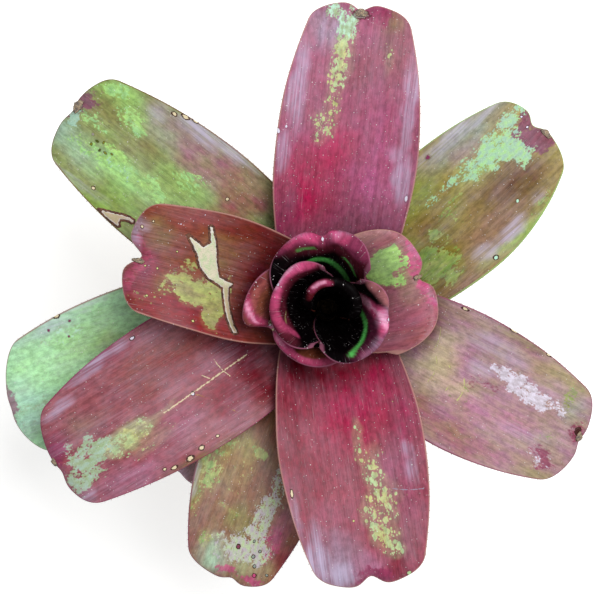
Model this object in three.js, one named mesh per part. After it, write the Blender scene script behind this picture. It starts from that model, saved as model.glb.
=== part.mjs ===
// A neoregelia bromeliad in a plain pot, in millimetres, +Z up.
// The origin is the centre of the pot's flat foot, on the surface that the pot stands on.
// Each leaf clasps the stem at its own level, rises in the tank that the leaf bases form, and arches out.
import * as THREE from "three";

// ---- pot, soil and stem -------------------------------------------------------------------------
const POT_HEIGHT = 118;
const POT_FOOT_RADIUS = 46;
const POT_RIM_RADIUS = 72;
const POT_WALL = 5;
const POT_FLOOR = 7;
const POT_COLLAR_HEIGHT = 24; // the thicker band under the rim
const POT_COLLAR_STEP = 4; // how far the band stands out from the wall
const POT_EDGE = 1.5; // worn round off the foot and the rim
const POT_SIDES = 36;
const SOIL_LEVEL = 100; // highest round the stem
const SOIL_FALL = 1; // from there to the pot's wall
const SOIL_SHOULDER = 3; // where the mix draws back from the wall
const FIT_GAP = 0.3; // between pieces that rest on each other
const STEM_ROOT_DEPTH = 46; // how far the stem's stub reaches under the soil
const STEM_ROOT_RADIUS = 13;
const STEM_UNDERCUT = 5; // how far the cone's underside draws in from its edge
const STEM_SIDES = 36;

// ---- leaf bases: nested shells on the stem's cone ------------------------------------------------
const FIRST_SHELL_RADIUS = 5.5; // of the innermost leaf's base
const SHELL_PITCH = 1.55; // from one leaf's base to the next one out
const SHELL_DROP = 0.95; // how far the cone falls for each millimetre of radius
const HEART_HEIGHT = SOIL_LEVEL + 31; // where the innermost leaf leaves the stem
const CONE_MARGIN = 3.2; // the cone reaches this far past the outermost base

// ---- blades --------------------------------------------------------------------------------------
const BLADE_THICKNESS = 1.5; // along the midrib
const MARGIN_THICKNESS = 0.8;
const SHEATH_THICKNESS = 0.9; // near the stem
const THICKEN = [20, 130]; // from the base, where the sheath's thickness grows to the blade's
const ROWS_TO_CURL = 10; // of facets along a leaf, up to where its rim curls back
const ROWS_IN_CURL = 3;
const ROWS = ROWS_TO_CURL + ROWS_IN_CURL;
const COLUMNS = 12; // of facets across it
const MIDRIB_STEPS = 160;
const WIDEST_AT = 0.55; // share of a leaf's length at which its blade is widest
const WRAP_LIMIT = 2.15; // the most that a sheath's half goes round its shell, in radians
const WAVE_GROWS = [50, 110]; // from the base, where the margins begin to wave and wave in full
const WAVE_OFFSET = 1.7; // by how much the two margins' waves are out of step, in radians
const CURL_FADE = 0.9; // share of the rim's curl that is gone at the margins

// What every leaf has unless its own entry says otherwise. Lengths in millimetres, angles in degrees.
const LEAF_DEFAULTS = {
  swing: 0, // how far the blade turns sideways by its tip
  lopside: 0, // how much wider one half is than the other
  tipRound: 0.55, // how far the end's corners fall back, as a share of its width
  tipPower: 2.3, // 2 is an ellipse, more is squarer
  tipWidth: 0.7, // width at the end as a share of the widest
  notch: 3, // depth of the notch at the apex
  notchWidth: 0.22, // its half width as a share of the leaf's
  notchAt: 0, // its place across the leaf, from -1 to 1
  shortLobe: 0, // how much shorter the lobe past the notch is
  sheathWidth: 0.85, // width at the base as a share of the widest
  rolled: false, // a rolled leaf stays on its shell right up to the rim
  flatten: [20, 110], // where any other leaf's blade leaves the shell that it grew on
  dish: 0.0015, // least curvature across the blade, in 1/mm
  curl: [9, 35], // length and angle of the rim that curls back
  wave: 1.2, // height of the waves at the margins
  waveLength: 70,
};

// What the leaves share that stay rolled and close the tank.
const ROLLED = { rolled: true, tipRound: 1, tipWidth: 0.8, wave: 0.6 };
const HEART = { rolled: true, tipRound: 0.9, tipWidth: 0.5, wave: 0, notch: 1, curl: [4, 20] };

// From the heart outwards: each leaf stands on the next shell. rise is the midrib's slope from base to tip.
const LEAVES = [
  { name: "heart_leaf_inner", ...HEART, azimuth: 250, length: 38, halfWidth: 9, rise: [89, 89, 88, 87] },
  { name: "heart_leaf_outer", ...HEART, azimuth: 40, length: 47, halfWidth: 12, rise: [89, 89, 88, 87] },
  { name: "cup_leaf_inner", ...ROLLED, azimuth: 76, length: 103, halfWidth: 30, rise: [88, 87, 86, 82],
    notch: 2, curl: [8, 170], wave: 0.3, tipRound: 1.1 },
  { name: "cup_leaf_right", ...ROLLED, azimuth: -31, length: 116, halfWidth: 34, rise: [87, 82, 75, 62],
    notch: 4, notchWidth: 0.15, notchAt: 0.5, curl: [9, 160] },
  { name: "cup_leaf_left", ...ROLLED, azimuth: 172, length: 118, halfWidth: 35, rise: [87, 82, 76, 65],
    notch: 3, notchAt: -0.35, curl: [7.5, 150] },
  { name: "cup_leaf_top", ...ROLLED, azimuth: 106, length: 129, halfWidth: 36, rise: [86, 79, 72, 56],
    notch: 10, notchWidth: 0.15, notchAt: -0.2, curl: [11, 155], tipRound: 1.1 },
  { name: "cup_leaf_lower_left", ...ROLLED, azimuth: 205, length: 125, halfWidth: 49,
    rise: [85, 77, 70, 47], notch: 9, notchWidth: 0.12, notchAt: -0.15, shortLobe: 29,
    curl: [7, 110], tipWidth: 0.95, tipRound: 0.8 },
  { name: "short_leaf_right", azimuth: 16, length: 103, halfWidth: 48, rise: [84, 78, 59, -16],
    notch: 8, notchWidth: 0.15, curl: [8, 60], flatten: [65, 105], wave: 1, swing: 8, tipWidth: 0.8 },
  { name: "short_leaf_left", azimuth: 162.5, length: 186, halfWidth: 41, rise: [82, 62, 34, 4],
    notch: 11, notchWidth: 0.2, curl: [8, 60], swing: 6, flatten: [60, 130], tipWidth: 0.8 },
  { name: "leaf_bottom", azimuth: 278.5, length: 213, halfWidth: 49.5, rise: [81, 36, 12, -1],
    notch: 7, curl: [10, 40], tipWidth: 0.64 },
  { name: "leaf_top", azimuth: 84.2, length: 228, halfWidth: 48, rise: [80, 32, 9, -2],
    notch: 5, curl: [10, 40], tipWidth: 0.6 },
  { name: "leaf_lower_left", azimuth: 211.3, length: 232, halfWidth: 49, rise: [79, 28, 7, -4],
    notch: 2, lopside: -0.16, tipWidth: 0.66 },
  { name: "leaf_lower_right", azimuth: 330.8, length: 205, halfWidth: 47.5, rise: [78, 25, 6, -4],
    notch: 2, swing: 3, tipWidth: 0.62 },
  { name: "leaf_upper_left", azimuth: 142.6, length: 233, halfWidth: 46.5, rise: [77, 21, 5, -5],
    notch: 2, tipWidth: 0.66 },
  { name: "leaf_bottom_left", azimuth: 250, length: 204, halfWidth: 45, rise: [76, 18, 4, -6],
    notch: 3, lopside: -0.13, tipWidth: 0.57 },
  { name: "leaf_upper_right", azimuth: 40.5, length: 194, halfWidth: 48, rise: [75, 16, 3, -7],
    notch: 5, swing: 4.5, lopside: -0.13, tipWidth: 0.56 },
  { name: "leaf_far_left", azimuth: 197.8, length: 232, halfWidth: 51, rise: [74, 13, 2, -8],
    notch: 1, lopside: -0.12, tipWidth: 0.66, tipPower: 1.9, tipRound: 0.65 },
  { name: "leaf_under_left", azimuth: 228, length: 146, halfWidth: 36, rise: [72, 10, 0, -10],
    notch: 1, tipWidth: 0.66, wave: 0.8 },
];

// ---- small helpers -------------------------------------------------------------------------------
const radians = THREE.MathUtils.degToRad;
const smoothstep = (low, high, x) => THREE.MathUtils.smoothstep(x, low, high);
const UP = new THREE.Vector3(0, 0, 1);

// The level unit vector at an angle round the stem.
function spokeAt(angle) {
  return new THREE.Vector3(Math.cos(angle), Math.sin(angle), 0);
}

function bernstein(c, u) {
  const w = 1 - u;
  return c[0] * w ** 3 + 3 * c[1] * u * w * w + 3 * c[2] * u * u * w + c[3] * u ** 3;
}

// A leaf's mid surface: at(s, v) is a point, with s along the leaf and v from -1 to 1 across it.
class LeafSurface {
  constructor(entry, shell) {
    Object.assign(this, LEAF_DEFAULTS, entry);
    this.baseRadius = FIRST_SHELL_RADIUS + SHELL_PITCH * shell;
    this.midrib = this.traceMidrib();
  }

  // The midrib is walked out from the base in short steps, each with its slope and heading.
  traceMidrib() {
    const p = spokeAt(radians(this.azimuth)).multiplyScalar(this.baseRadius);
    p.z = baseHeight(this.baseRadius);
    const step = this.length / MIDRIB_STEPS;
    const stations = [];
    for (let i = 0; i <= MIDRIB_STEPS; i++) {
      const u = i / MIDRIB_STEPS;
      const slope = radians(bernstein(this.rise, u));
      const heading = radians(this.azimuth + this.swing * u * u);
      if (i > 0) {
        const between = (slope + stations[i - 1].slope) / 2;
        const spoke = spokeAt((heading + stations[i - 1].heading) / 2);
        p.addScaledVector(spoke, step * Math.cos(between)).addScaledVector(UP, step * Math.sin(between));
      }
      stations.push({ point: p.clone(), slope, heading });
    }
    return stations;
  }

  station(s) {
    const x = THREE.MathUtils.clamp((s / this.length) * MIDRIB_STEPS, 0, MIDRIB_STEPS - 1e-6);
    const i = Math.floor(x);
    const f = x - i;
    const [a, b] = [this.midrib[i], this.midrib[i + 1]];
    return {
      point: a.point.clone().lerp(b.point, f),
      slope: THREE.MathUtils.lerp(a.slope, b.slope, f),
      heading: THREE.MathUtils.lerp(a.heading, b.heading, f),
    };
  }

  widthAt(s) {
    const u = s / this.length;
    const wide = this.halfWidth * THREE.MathUtils.lerp(this.sheathWidth, 1, smoothstep(0, WIDEST_AT, u));
    const t = Math.max(0, (u - WIDEST_AT) / (1 - WIDEST_AT));
    return wide * (1 - (1 - this.tipWidth) * t * t);
  }

  // Length along the column at v: round corners, and a notch at the apex.
  endAt(v) {
    const a = Math.min(Math.abs(v), 0.999);
    const corner = 1 - (1 - a ** this.tipPower) ** (1 / this.tipPower);
    return this.length - this.tipRound * this.halfWidth * this.tipWidth * corner
      - this.notch * Math.exp(-(((v - this.notchAt) / this.notchWidth) ** 2))
      - this.shortLobe * smoothstep(this.notchAt - this.notchWidth, this.notchAt + this.notchWidth, v);
  }

  // How far along its column a row of facets lies.
  alongAt(row, v) {
    const end = this.endAt(v);
    const straight = end - this.curl[0];
    if (row <= ROWS_TO_CURL) return (straight * row) / ROWS_TO_CURL;
    return straight + (this.curl[0] * (row - ROWS_TO_CURL)) / ROWS_IN_CURL;
  }

  // The mid surface's point s millimetres from the base, at v across.
  at(s, v) {
    const [curlLength, curlDegrees] = this.curl;
    const curlAngle = radians(curlDegrees) * (1 - CURL_FADE * v ** 4);
    const curlStart = this.endAt(v) - curlLength;
    const curled = THREE.MathUtils.clamp((s - curlStart) / curlLength, 0, 1);
    const along = Math.min(s, curlStart);
    const { point, slope, heading } = this.station(along);
    const out = spokeAt(heading);
    const side = spokeAt(heading + Math.PI / 2);
    const tangent = out.clone().multiplyScalar(Math.cos(slope)).addScaledVector(UP, Math.sin(slope));
    const normal = out.clone().multiplyScalar(-Math.sin(slope)).addScaledVector(UP, Math.cos(slope));
    const radius = Math.hypot(point.x, point.y);
    const blade = this.rolled ? 0 : smoothstep(...this.flatten, along);
    const bend = (1 - blade) / radius + blade * (Math.sin(Math.max(slope, 0)) / radius + this.dish);
    let across = v * this.widthAt(s) * (1 + this.lopside * v);
    across /= (1 + (across / (WRAP_LIMIT * radius)) ** 4) ** 0.25;
    const turn = across * bend;
    const inward = out.clone().multiplyScalar(blade - 1).addScaledVector(normal, blade).normalize();
    const spoke = out.clone().multiplyScalar(Math.cos(turn)).addScaledVector(side, Math.sin(turn));
    const shellTangent = spoke.clone().multiplyScalar(Math.cos(slope)).addScaledVector(UP, Math.sin(slope));
    const shellNormal = spoke.clone().multiplyScalar(-Math.sin(slope)).addScaledVector(UP, Math.cos(slope));
    const bladeNormal = normal.clone().multiplyScalar(Math.cos(turn)).addScaledVector(side, -Math.sin(turn));
    const t = shellTangent.lerp(tangent, blade).normalize();
    const n = shellNormal.lerp(bladeNormal, blade).normalize();
    const curlRadius = curlLength / curlAngle;
    const wave = this.wave * Math.abs(v) ** 3 * smoothstep(...WAVE_GROWS, s)
      * Math.sin((2 * Math.PI * s) / this.waveLength + (v > 0 ? WAVE_OFFSET : 0));
    return point
      .addScaledVector(side, Math.sin(turn) / bend)
      .addScaledVector(inward, (1 - Math.cos(turn)) / bend)
      .addScaledVector(t, curlRadius * Math.sin(curlAngle * curled))
      .addScaledVector(n, wave - curlRadius * (1 - Math.cos(curlAngle * curled)));
  }

  thicknessAt(s, v) {
    const body = THREE.MathUtils.lerp(SHEATH_THICKNESS, BLADE_THICKNESS, smoothstep(...THICKEN, s));
    return THREE.MathUtils.lerp(body, MARGIN_THICKNESS, v ** 4);
  }
}

// Even across the sheath, and closer together towards the margins at the round end.
function acrossAt(row, column) {
  const even = (2 * column) / COLUMNS - 1;
  return THREE.MathUtils.lerp(even, Math.sin((even * Math.PI) / 2), row / ROWS);
}

// Turns the mid surface into a closed solid: two faces a thickness apart and a narrow wall round them.
function leafGeometry(leaf) {
  const index = (row, column) => row * (COLUMNS + 1) + column;
  const middle = [];
  const halves = [];
  for (let row = 0; row <= ROWS; row++) {
    for (let column = 0; column <= COLUMNS; column++) {
      const v = acrossAt(row, column);
      const s = leaf.alongAt(row, v);
      middle.push(leaf.at(s, v));
      halves.push(leaf.thicknessAt(s, v) / 2);
    }
  }
  const positions = [];
  for (const face of [1, -1]) {
    for (let row = 0; row <= ROWS; row++) {
      for (let column = 0; column <= COLUMNS; column++) {
        const along = middle[index(Math.min(row + 1, ROWS), column)].clone()
          .sub(middle[index(Math.max(row - 1, 0), column)]);
        const across = middle[index(row, Math.min(column + 1, COLUMNS))].clone()
          .sub(middle[index(row, Math.max(column - 1, 0))]);
        const k = index(row, column);
        const offset = along.cross(across).setLength(face * halves[k]);
        positions.push(...middle[k].clone().add(offset).toArray());
      }
    }
  }
  const under = middle.length;
  const faces = [];
  for (let row = 0; row < ROWS; row++) {
    for (let column = 0; column < COLUMNS; column++) {
      const [a, b] = [index(row, column), index(row + 1, column)];
      const [c, d] = [index(row + 1, column + 1), index(row, column + 1)];
      faces.push(a, b, c, a, c, d);
      faces.push(under + a, under + c, under + b, under + a, under + d, under + c);
    }
  }
  const rim = [];
  for (let column = 0; column < COLUMNS; column++) rim.push(index(0, column));
  for (let row = 0; row < ROWS; row++) rim.push(index(row, COLUMNS));
  for (let column = COLUMNS; column > 0; column--) rim.push(index(ROWS, column));
  for (let row = ROWS; row > 0; row--) rim.push(index(row, 0));
  rim.forEach((a, k) => {
    const b = rim[(k + 1) % rim.length];
    faces.push(a, b, under + b, a, under + b, under + a);
  });
  const geometry = new THREE.BufferGeometry();
  geometry.setAttribute("position", new THREE.Float32BufferAttribute(positions, 3));
  geometry.setIndex(faces);
  geometry.computeVertexNormals();
  return geometry;
}

function lathe(points, sides) {
  const geometry = new THREE.LatheGeometry(points.map(([r, z]) => new THREE.Vector2(r, z)), sides);
  geometry.rotateX(Math.PI / 2);
  return geometry;
}

// Radius of the pot's inner wall at height z.
function potInside(z) {
  return THREE.MathUtils.lerp(POT_FOOT_RADIUS, POT_RIM_RADIUS - POT_COLLAR_STEP, z / POT_HEIGHT) - POT_WALL;
}

function potGeometry() {
  const collar = POT_HEIGHT - POT_COLLAR_HEIGHT;
  const neck = potInside(collar) + POT_WALL;
  const mouth = potInside(POT_HEIGHT);
  return lathe([
    [0, 0], [POT_FOOT_RADIUS - POT_EDGE, 0], [POT_FOOT_RADIUS, POT_EDGE], [neck, collar],
    [neck + POT_COLLAR_STEP - POT_EDGE, collar], [neck + POT_COLLAR_STEP, collar + POT_EDGE],
    [POT_RIM_RADIUS, POT_HEIGHT - POT_EDGE], [POT_RIM_RADIUS - POT_EDGE, POT_HEIGHT],
    [mouth + POT_EDGE, POT_HEIGHT], [mouth, POT_HEIGHT - POT_EDGE], [potInside(POT_FLOOR), POT_FLOOR],
    [0, POT_FLOOR],
  ], POT_SIDES);
}

// The potting mix fills the pot, with a plain hole for the stem's stub.
function soilGeometry() {
  const hole = STEM_ROOT_RADIUS + FIT_GAP;
  const bottom = POT_FLOOR + FIT_GAP;
  const holeFloor = SOIL_LEVEL - STEM_ROOT_DEPTH - FIT_GAP;
  const shoulder = SOIL_LEVEL - SOIL_SHOULDER;
  const edge = SOIL_LEVEL - SOIL_FALL;
  return lathe([
    [0, bottom], [potInside(bottom) - FIT_GAP, bottom], [potInside(shoulder) - FIT_GAP, shoulder],
    [potInside(edge) - SOIL_SHOULDER, edge], [hole, SOIL_LEVEL], [hole, holeFloor], [0, holeFloor],
  ], POT_SIDES);
}

// Height of the leaf bases that stand at radius r from the stem's axis.
function baseHeight(r) {
  return HEART_HEIGHT - SHELL_DROP * (r - FIRST_SHELL_RADIUS);
}

// A broad cone just under the leaf bases, with a stub that reaches down into the soil.
function stemGeometry() {
  const top = FIRST_SHELL_RADIUS - SHEATH_THICKNESS;
  const edge = FIRST_SHELL_RADIUS + SHELL_PITCH * (LEAVES.length - 1) + CONE_MARGIN;
  const clearance = SHELL_DROP * SHEATH_THICKNESS + FIT_GAP;
  const underside = SOIL_LEVEL + FIT_GAP;
  const rootEnd = SOIL_LEVEL - STEM_ROOT_DEPTH;
  return lathe([
    [0, rootEnd], [STEM_ROOT_RADIUS, rootEnd], [STEM_ROOT_RADIUS, underside],
    [edge - STEM_UNDERCUT, underside], [edge, baseHeight(edge) - clearance],
    [top, baseHeight(top) - clearance], [0, baseHeight(top)],
  ], STEM_SIDES);
}

// ---- the object ----------------------------------------------------------------------------------
const clay = new THREE.MeshStandardMaterial({ color: 0xb5643f, roughness: 0.85, metalness: 0 });
const bark = new THREE.MeshStandardMaterial({ color: 0x3d2a1c, roughness: 0.95, metalness: 0 });
const stemBrown = new THREE.MeshStandardMaterial({ color: 0x6b5136, roughness: 0.8, metalness: 0 });
const greenLeaf = new THREE.MeshStandardMaterial({ color: 0x7f9a52, roughness: 0.45, metalness: 0 });
const redLeaf = new THREE.MeshStandardMaterial({ color: 0x8e3a4c, roughness: 0.45, metalness: 0 });
const darkLeaf = new THREE.MeshStandardMaterial({ color: 0x6a1f38, roughness: 0.4, metalness: 0 });
const GREEN_LEAVES = ["leaf_upper_left", "leaf_upper_right", "leaf_far_left", "leaf_bottom_left"];

function leafMaterial(entry) {
  if (entry.rolled) return darkLeaf;
  return GREEN_LEAVES.includes(entry.name) ? greenLeaf : redLeaf;
}

function named(name, geometry, material) {
  const mesh = new THREE.Mesh(geometry, material);
  mesh.name = name;
  return mesh;
}

const bromeliad = new THREE.Group();
bromeliad.add(named("pot", potGeometry(), clay));
bromeliad.add(named("soil", soilGeometry(), bark));
const plant = new THREE.Group();
plant.add(named("stem", stemGeometry(), stemBrown));
LEAVES.forEach((entry, shell) => {
  plant.add(named(entry.name, leafGeometry(new LeafSurface(entry, shell)), leafMaterial(entry)));
});
bromeliad.add(plant);

export default bromeliad;
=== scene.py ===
"""A potted neoregelia bromeliad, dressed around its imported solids.

Forms are worked out in millimetres and turned into metres when a mesh is made. Each leaf has the
form of its own solid, at a finer grain, and replaces it.
"""

import logging
import math
from collections.abc import Callable, Iterator
from dataclasses import dataclass, fields, replace
from enum import Enum
from functools import cached_property
from inspect import signature
from typing import ClassVar

import bmesh
import bpy
import numpy as np
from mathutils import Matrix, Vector, noise
from mathutils.geometry import delaunay_2d_cdt

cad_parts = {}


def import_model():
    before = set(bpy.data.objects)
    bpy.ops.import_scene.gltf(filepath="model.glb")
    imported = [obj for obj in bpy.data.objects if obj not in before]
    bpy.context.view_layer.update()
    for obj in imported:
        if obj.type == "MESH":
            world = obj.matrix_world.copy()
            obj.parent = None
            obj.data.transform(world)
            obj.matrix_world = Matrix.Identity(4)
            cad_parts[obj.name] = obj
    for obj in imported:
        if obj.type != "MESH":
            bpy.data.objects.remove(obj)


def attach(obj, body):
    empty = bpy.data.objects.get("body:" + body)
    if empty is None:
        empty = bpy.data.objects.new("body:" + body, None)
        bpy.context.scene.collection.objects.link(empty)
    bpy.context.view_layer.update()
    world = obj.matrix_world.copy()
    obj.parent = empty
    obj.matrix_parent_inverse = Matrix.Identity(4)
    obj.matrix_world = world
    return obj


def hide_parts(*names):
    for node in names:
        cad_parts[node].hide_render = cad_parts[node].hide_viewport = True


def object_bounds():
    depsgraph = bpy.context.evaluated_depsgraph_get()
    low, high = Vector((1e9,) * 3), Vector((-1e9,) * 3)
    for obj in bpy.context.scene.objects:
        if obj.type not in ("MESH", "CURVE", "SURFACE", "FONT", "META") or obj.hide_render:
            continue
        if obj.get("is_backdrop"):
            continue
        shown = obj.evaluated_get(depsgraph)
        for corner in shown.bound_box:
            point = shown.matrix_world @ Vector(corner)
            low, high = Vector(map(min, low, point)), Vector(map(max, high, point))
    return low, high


LOG = logging.getLogger("bromeliad")

MM = 0.001
ORIGIN = (0.0, 0.0, 0.0)
BODY = "root"

# The rosette: leaves are nested shells round the stem, youngest first.
SOIL_LEVEL = 100.0
FIRST_SHELL_RADIUS = 5.5
SHELL_PITCH = 1.55
SHELL_DROP = 0.95
HEART_HEIGHT = SOIL_LEVEL + 31.0
LAST_SHELL = 17
CONE_MARGIN = 3.2
BLADE_THICKNESS = 1.5
MARGIN_THICKNESS = 0.8
SHEATH_THICKNESS = 0.9
THICKEN = (20.0, 130.0)
MIDRIB_STEPS = 160
WIDEST_AT = 0.55
WRAP_LIMIT = 2.15
WAVE_GROWS = (50.0, 110.0)
WAVE_OFFSET = 1.7
CURL_FADE = 0.9
RELIEF = 0.35

# The pot and what fills it.
POT_HEIGHT = 118.0
POT_FOOT_RADIUS = 46.0
POT_NECK_RADIUS = 68.0
POT_RIM_RADIUS = 72.0
POT_WALL = 5.0
POT_FLOOR = 7.0
POT_COLLAR_FOOT = 94.0
FIT_GAP = 0.3
STEM_ROOT_RADIUS = 13.0
STEM_ROOT_DEPTH = 46.0


# ---- small helpers ----
def smoothstep(low: float, high: float, x: np.ndarray) -> np.ndarray:
    """Eases from 0 at low to 1 at high."""
    t = np.clip((x - low) / (high - low), 0.0, 1.0)
    return t * t * (3.0 - 2.0 * t)


def lerp(a: np.ndarray, b: np.ndarray, t: np.ndarray) -> np.ndarray:
    """A straight blend from a to b."""
    return a + (b - a) * t


def unit(vectors: np.ndarray) -> np.ndarray:
    """Vectors along the last axis, scaled to length 1."""
    return vectors / np.maximum(np.linalg.norm(vectors, axis=-1, keepdims=True), 1e-12)


class Hue(Enum):
    """Every named colour of the plant and its pot, as screen hex."""

    SAGE = "82885a"
    SPRING_GREEN = "8fb468"
    MINT_GREEN = "9acb84"
    PALE_MINT = "9cbaa6"
    SEAFOAM = "b0dcc2"
    MINT_LIME = "aec894"
    FRESH_GREEN = "b4e4b0"
    LIME_GREEN = "a6d274"
    LEAF_GREEN = "7d9c44"
    GREY_SAGE = "8a968c"
    KHAKI = "948a58"
    MOSS = "74761c"
    DARK_MOSS = "444c12"
    OLIVE_BROWN = "786c3e"
    PATCH_OLIVE = "a8b062"
    BUTTER = "bebc78"
    TAN = "d2c4a0"
    TAUPE = "8a6c60"
    COCOA = "5e4436"
    RUSSET = "7a3f2b"
    UMBER = "6a3c1e"
    BRICK = "8c4844"
    ROSEWOOD = "945a5e"
    GARNET = "782a36"
    MAROON = "5e1620"
    # dark red of the outer leaves' bases, partly their own colour and partly painted shade where they run under other
    # leaves
    OXBLOOD = "5c0c16"
    CARMINE = "82121f"
    CRIMSON = "a43c60"
    WINE = "803250"
    RASPBERRY = "b03c5a"
    WINE_ROSE = "8c3050"
    DEEP_WINE = "4a1a2e"
    ROSE_RED = "a23c56"
    ROSE = "9a5a72"
    DUSTY_ROSE = "954f5c"
    ORCHID_ROSE = "b2678a"
    ORCHID = "b484a0"
    MAUVE = "9a6278"
    GREY_ROSE = "a07e88"
    GREY_MAUVE = "977f88"
    BROWN_MAUVE = "80545c"
    PLUM = "7c3658"
    MAGENTA = "8f2f54"
    HOT_PINK = "be4876"
    # painted highlight on the pink cup rims
    PINK = "e49cba"
    # the lilac of the painted sheen, a painted highlight
    LILAC = "c0b6d2"
    GREY_LILAC = "9a8ea2"
    PALE_LILAC = "d6d0e0"
    BLUSH_WHITE = "d8ccd6"
    SCURF = "e2dcdc"
    # painted shade: the near black deep in the cup
    CUP_BLACK = "040102"
    CUP_MAROON = "521826"
    CUP_GREEN = "52ac52"
    SCAB_CREAM = "d8c8a4"
    SCAB_RIM = "3a1812"
    PAPER = "d2cab0"
    PAPER_TAN = "a57b52"
    ASH = "8d857e"
    RIM_TAN = "b08478"
    UNDER_GREEN = "6f7a4a"
    UNDER_WINE = "6c3a48"
    SPINE = "4b1418"
    CLAY = "b3623c"
    CLAY_PALE = "cf9a78"
    CLAY_DARK = "7e3d24"
    LIME_BLOOM = "d9cdbd"
    PEAT = "2a1a10"
    PEAT_LIGHT = "4a3222"
    BARK = "5a3a24"
    BARK_PALE = "8a6242"
    PERLITE = "e3dfd6"
    STEM_BROWN = "6b5136"
    STEM_DARK = "3a2818"
    FLOOR = "f4f3f1"

    @property
    def linear(self) -> tuple[float, float, float, float]:
        """The colour as linear red, green, blue and 1."""
        out = []
        for i in (0, 2, 4):
            c = int(self.value[i : i + 2], 16) / 255.0
            out.append(c / 12.92 if c <= 0.04045 else ((c + 0.055) / 1.055) ** 2.4)
        return (out[0], out[1], out[2], 1.0)


# ---- node trees ----
def operator(operation: str, swapped: bool = False) -> Callable[["Wire", "Value"], "Wire"]:
    """Makes one arithmetic method of a wire.

    Args:
        operation: what its math node does.
        swapped: whether the other value comes first.

    Returns:
        The method.
    """

    def method(self: "Wire", other: "Value") -> "Wire":
        """Adds the node."""
        return self.graph.math(operation, *((other, self) if swapped else (self, other)))

    return method


@dataclass(frozen=True)
class Wire:
    """One output of a node. Arithmetic on it adds math nodes to its graph."""

    graph: "Graph"
    socket: bpy.types.NodeSocket

    __add__, __radd__ = operator("ADD"), operator("ADD", True)
    __sub__, __rsub__ = operator("SUBTRACT"), operator("SUBTRACT", True)
    __mul__, __rmul__ = operator("MULTIPLY"), operator("MULTIPLY", True)
    __truediv__, __rtruediv__ = operator("DIVIDE"), operator("DIVIDE", True)


Value = Wire | Hue | float | tuple | str


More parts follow.
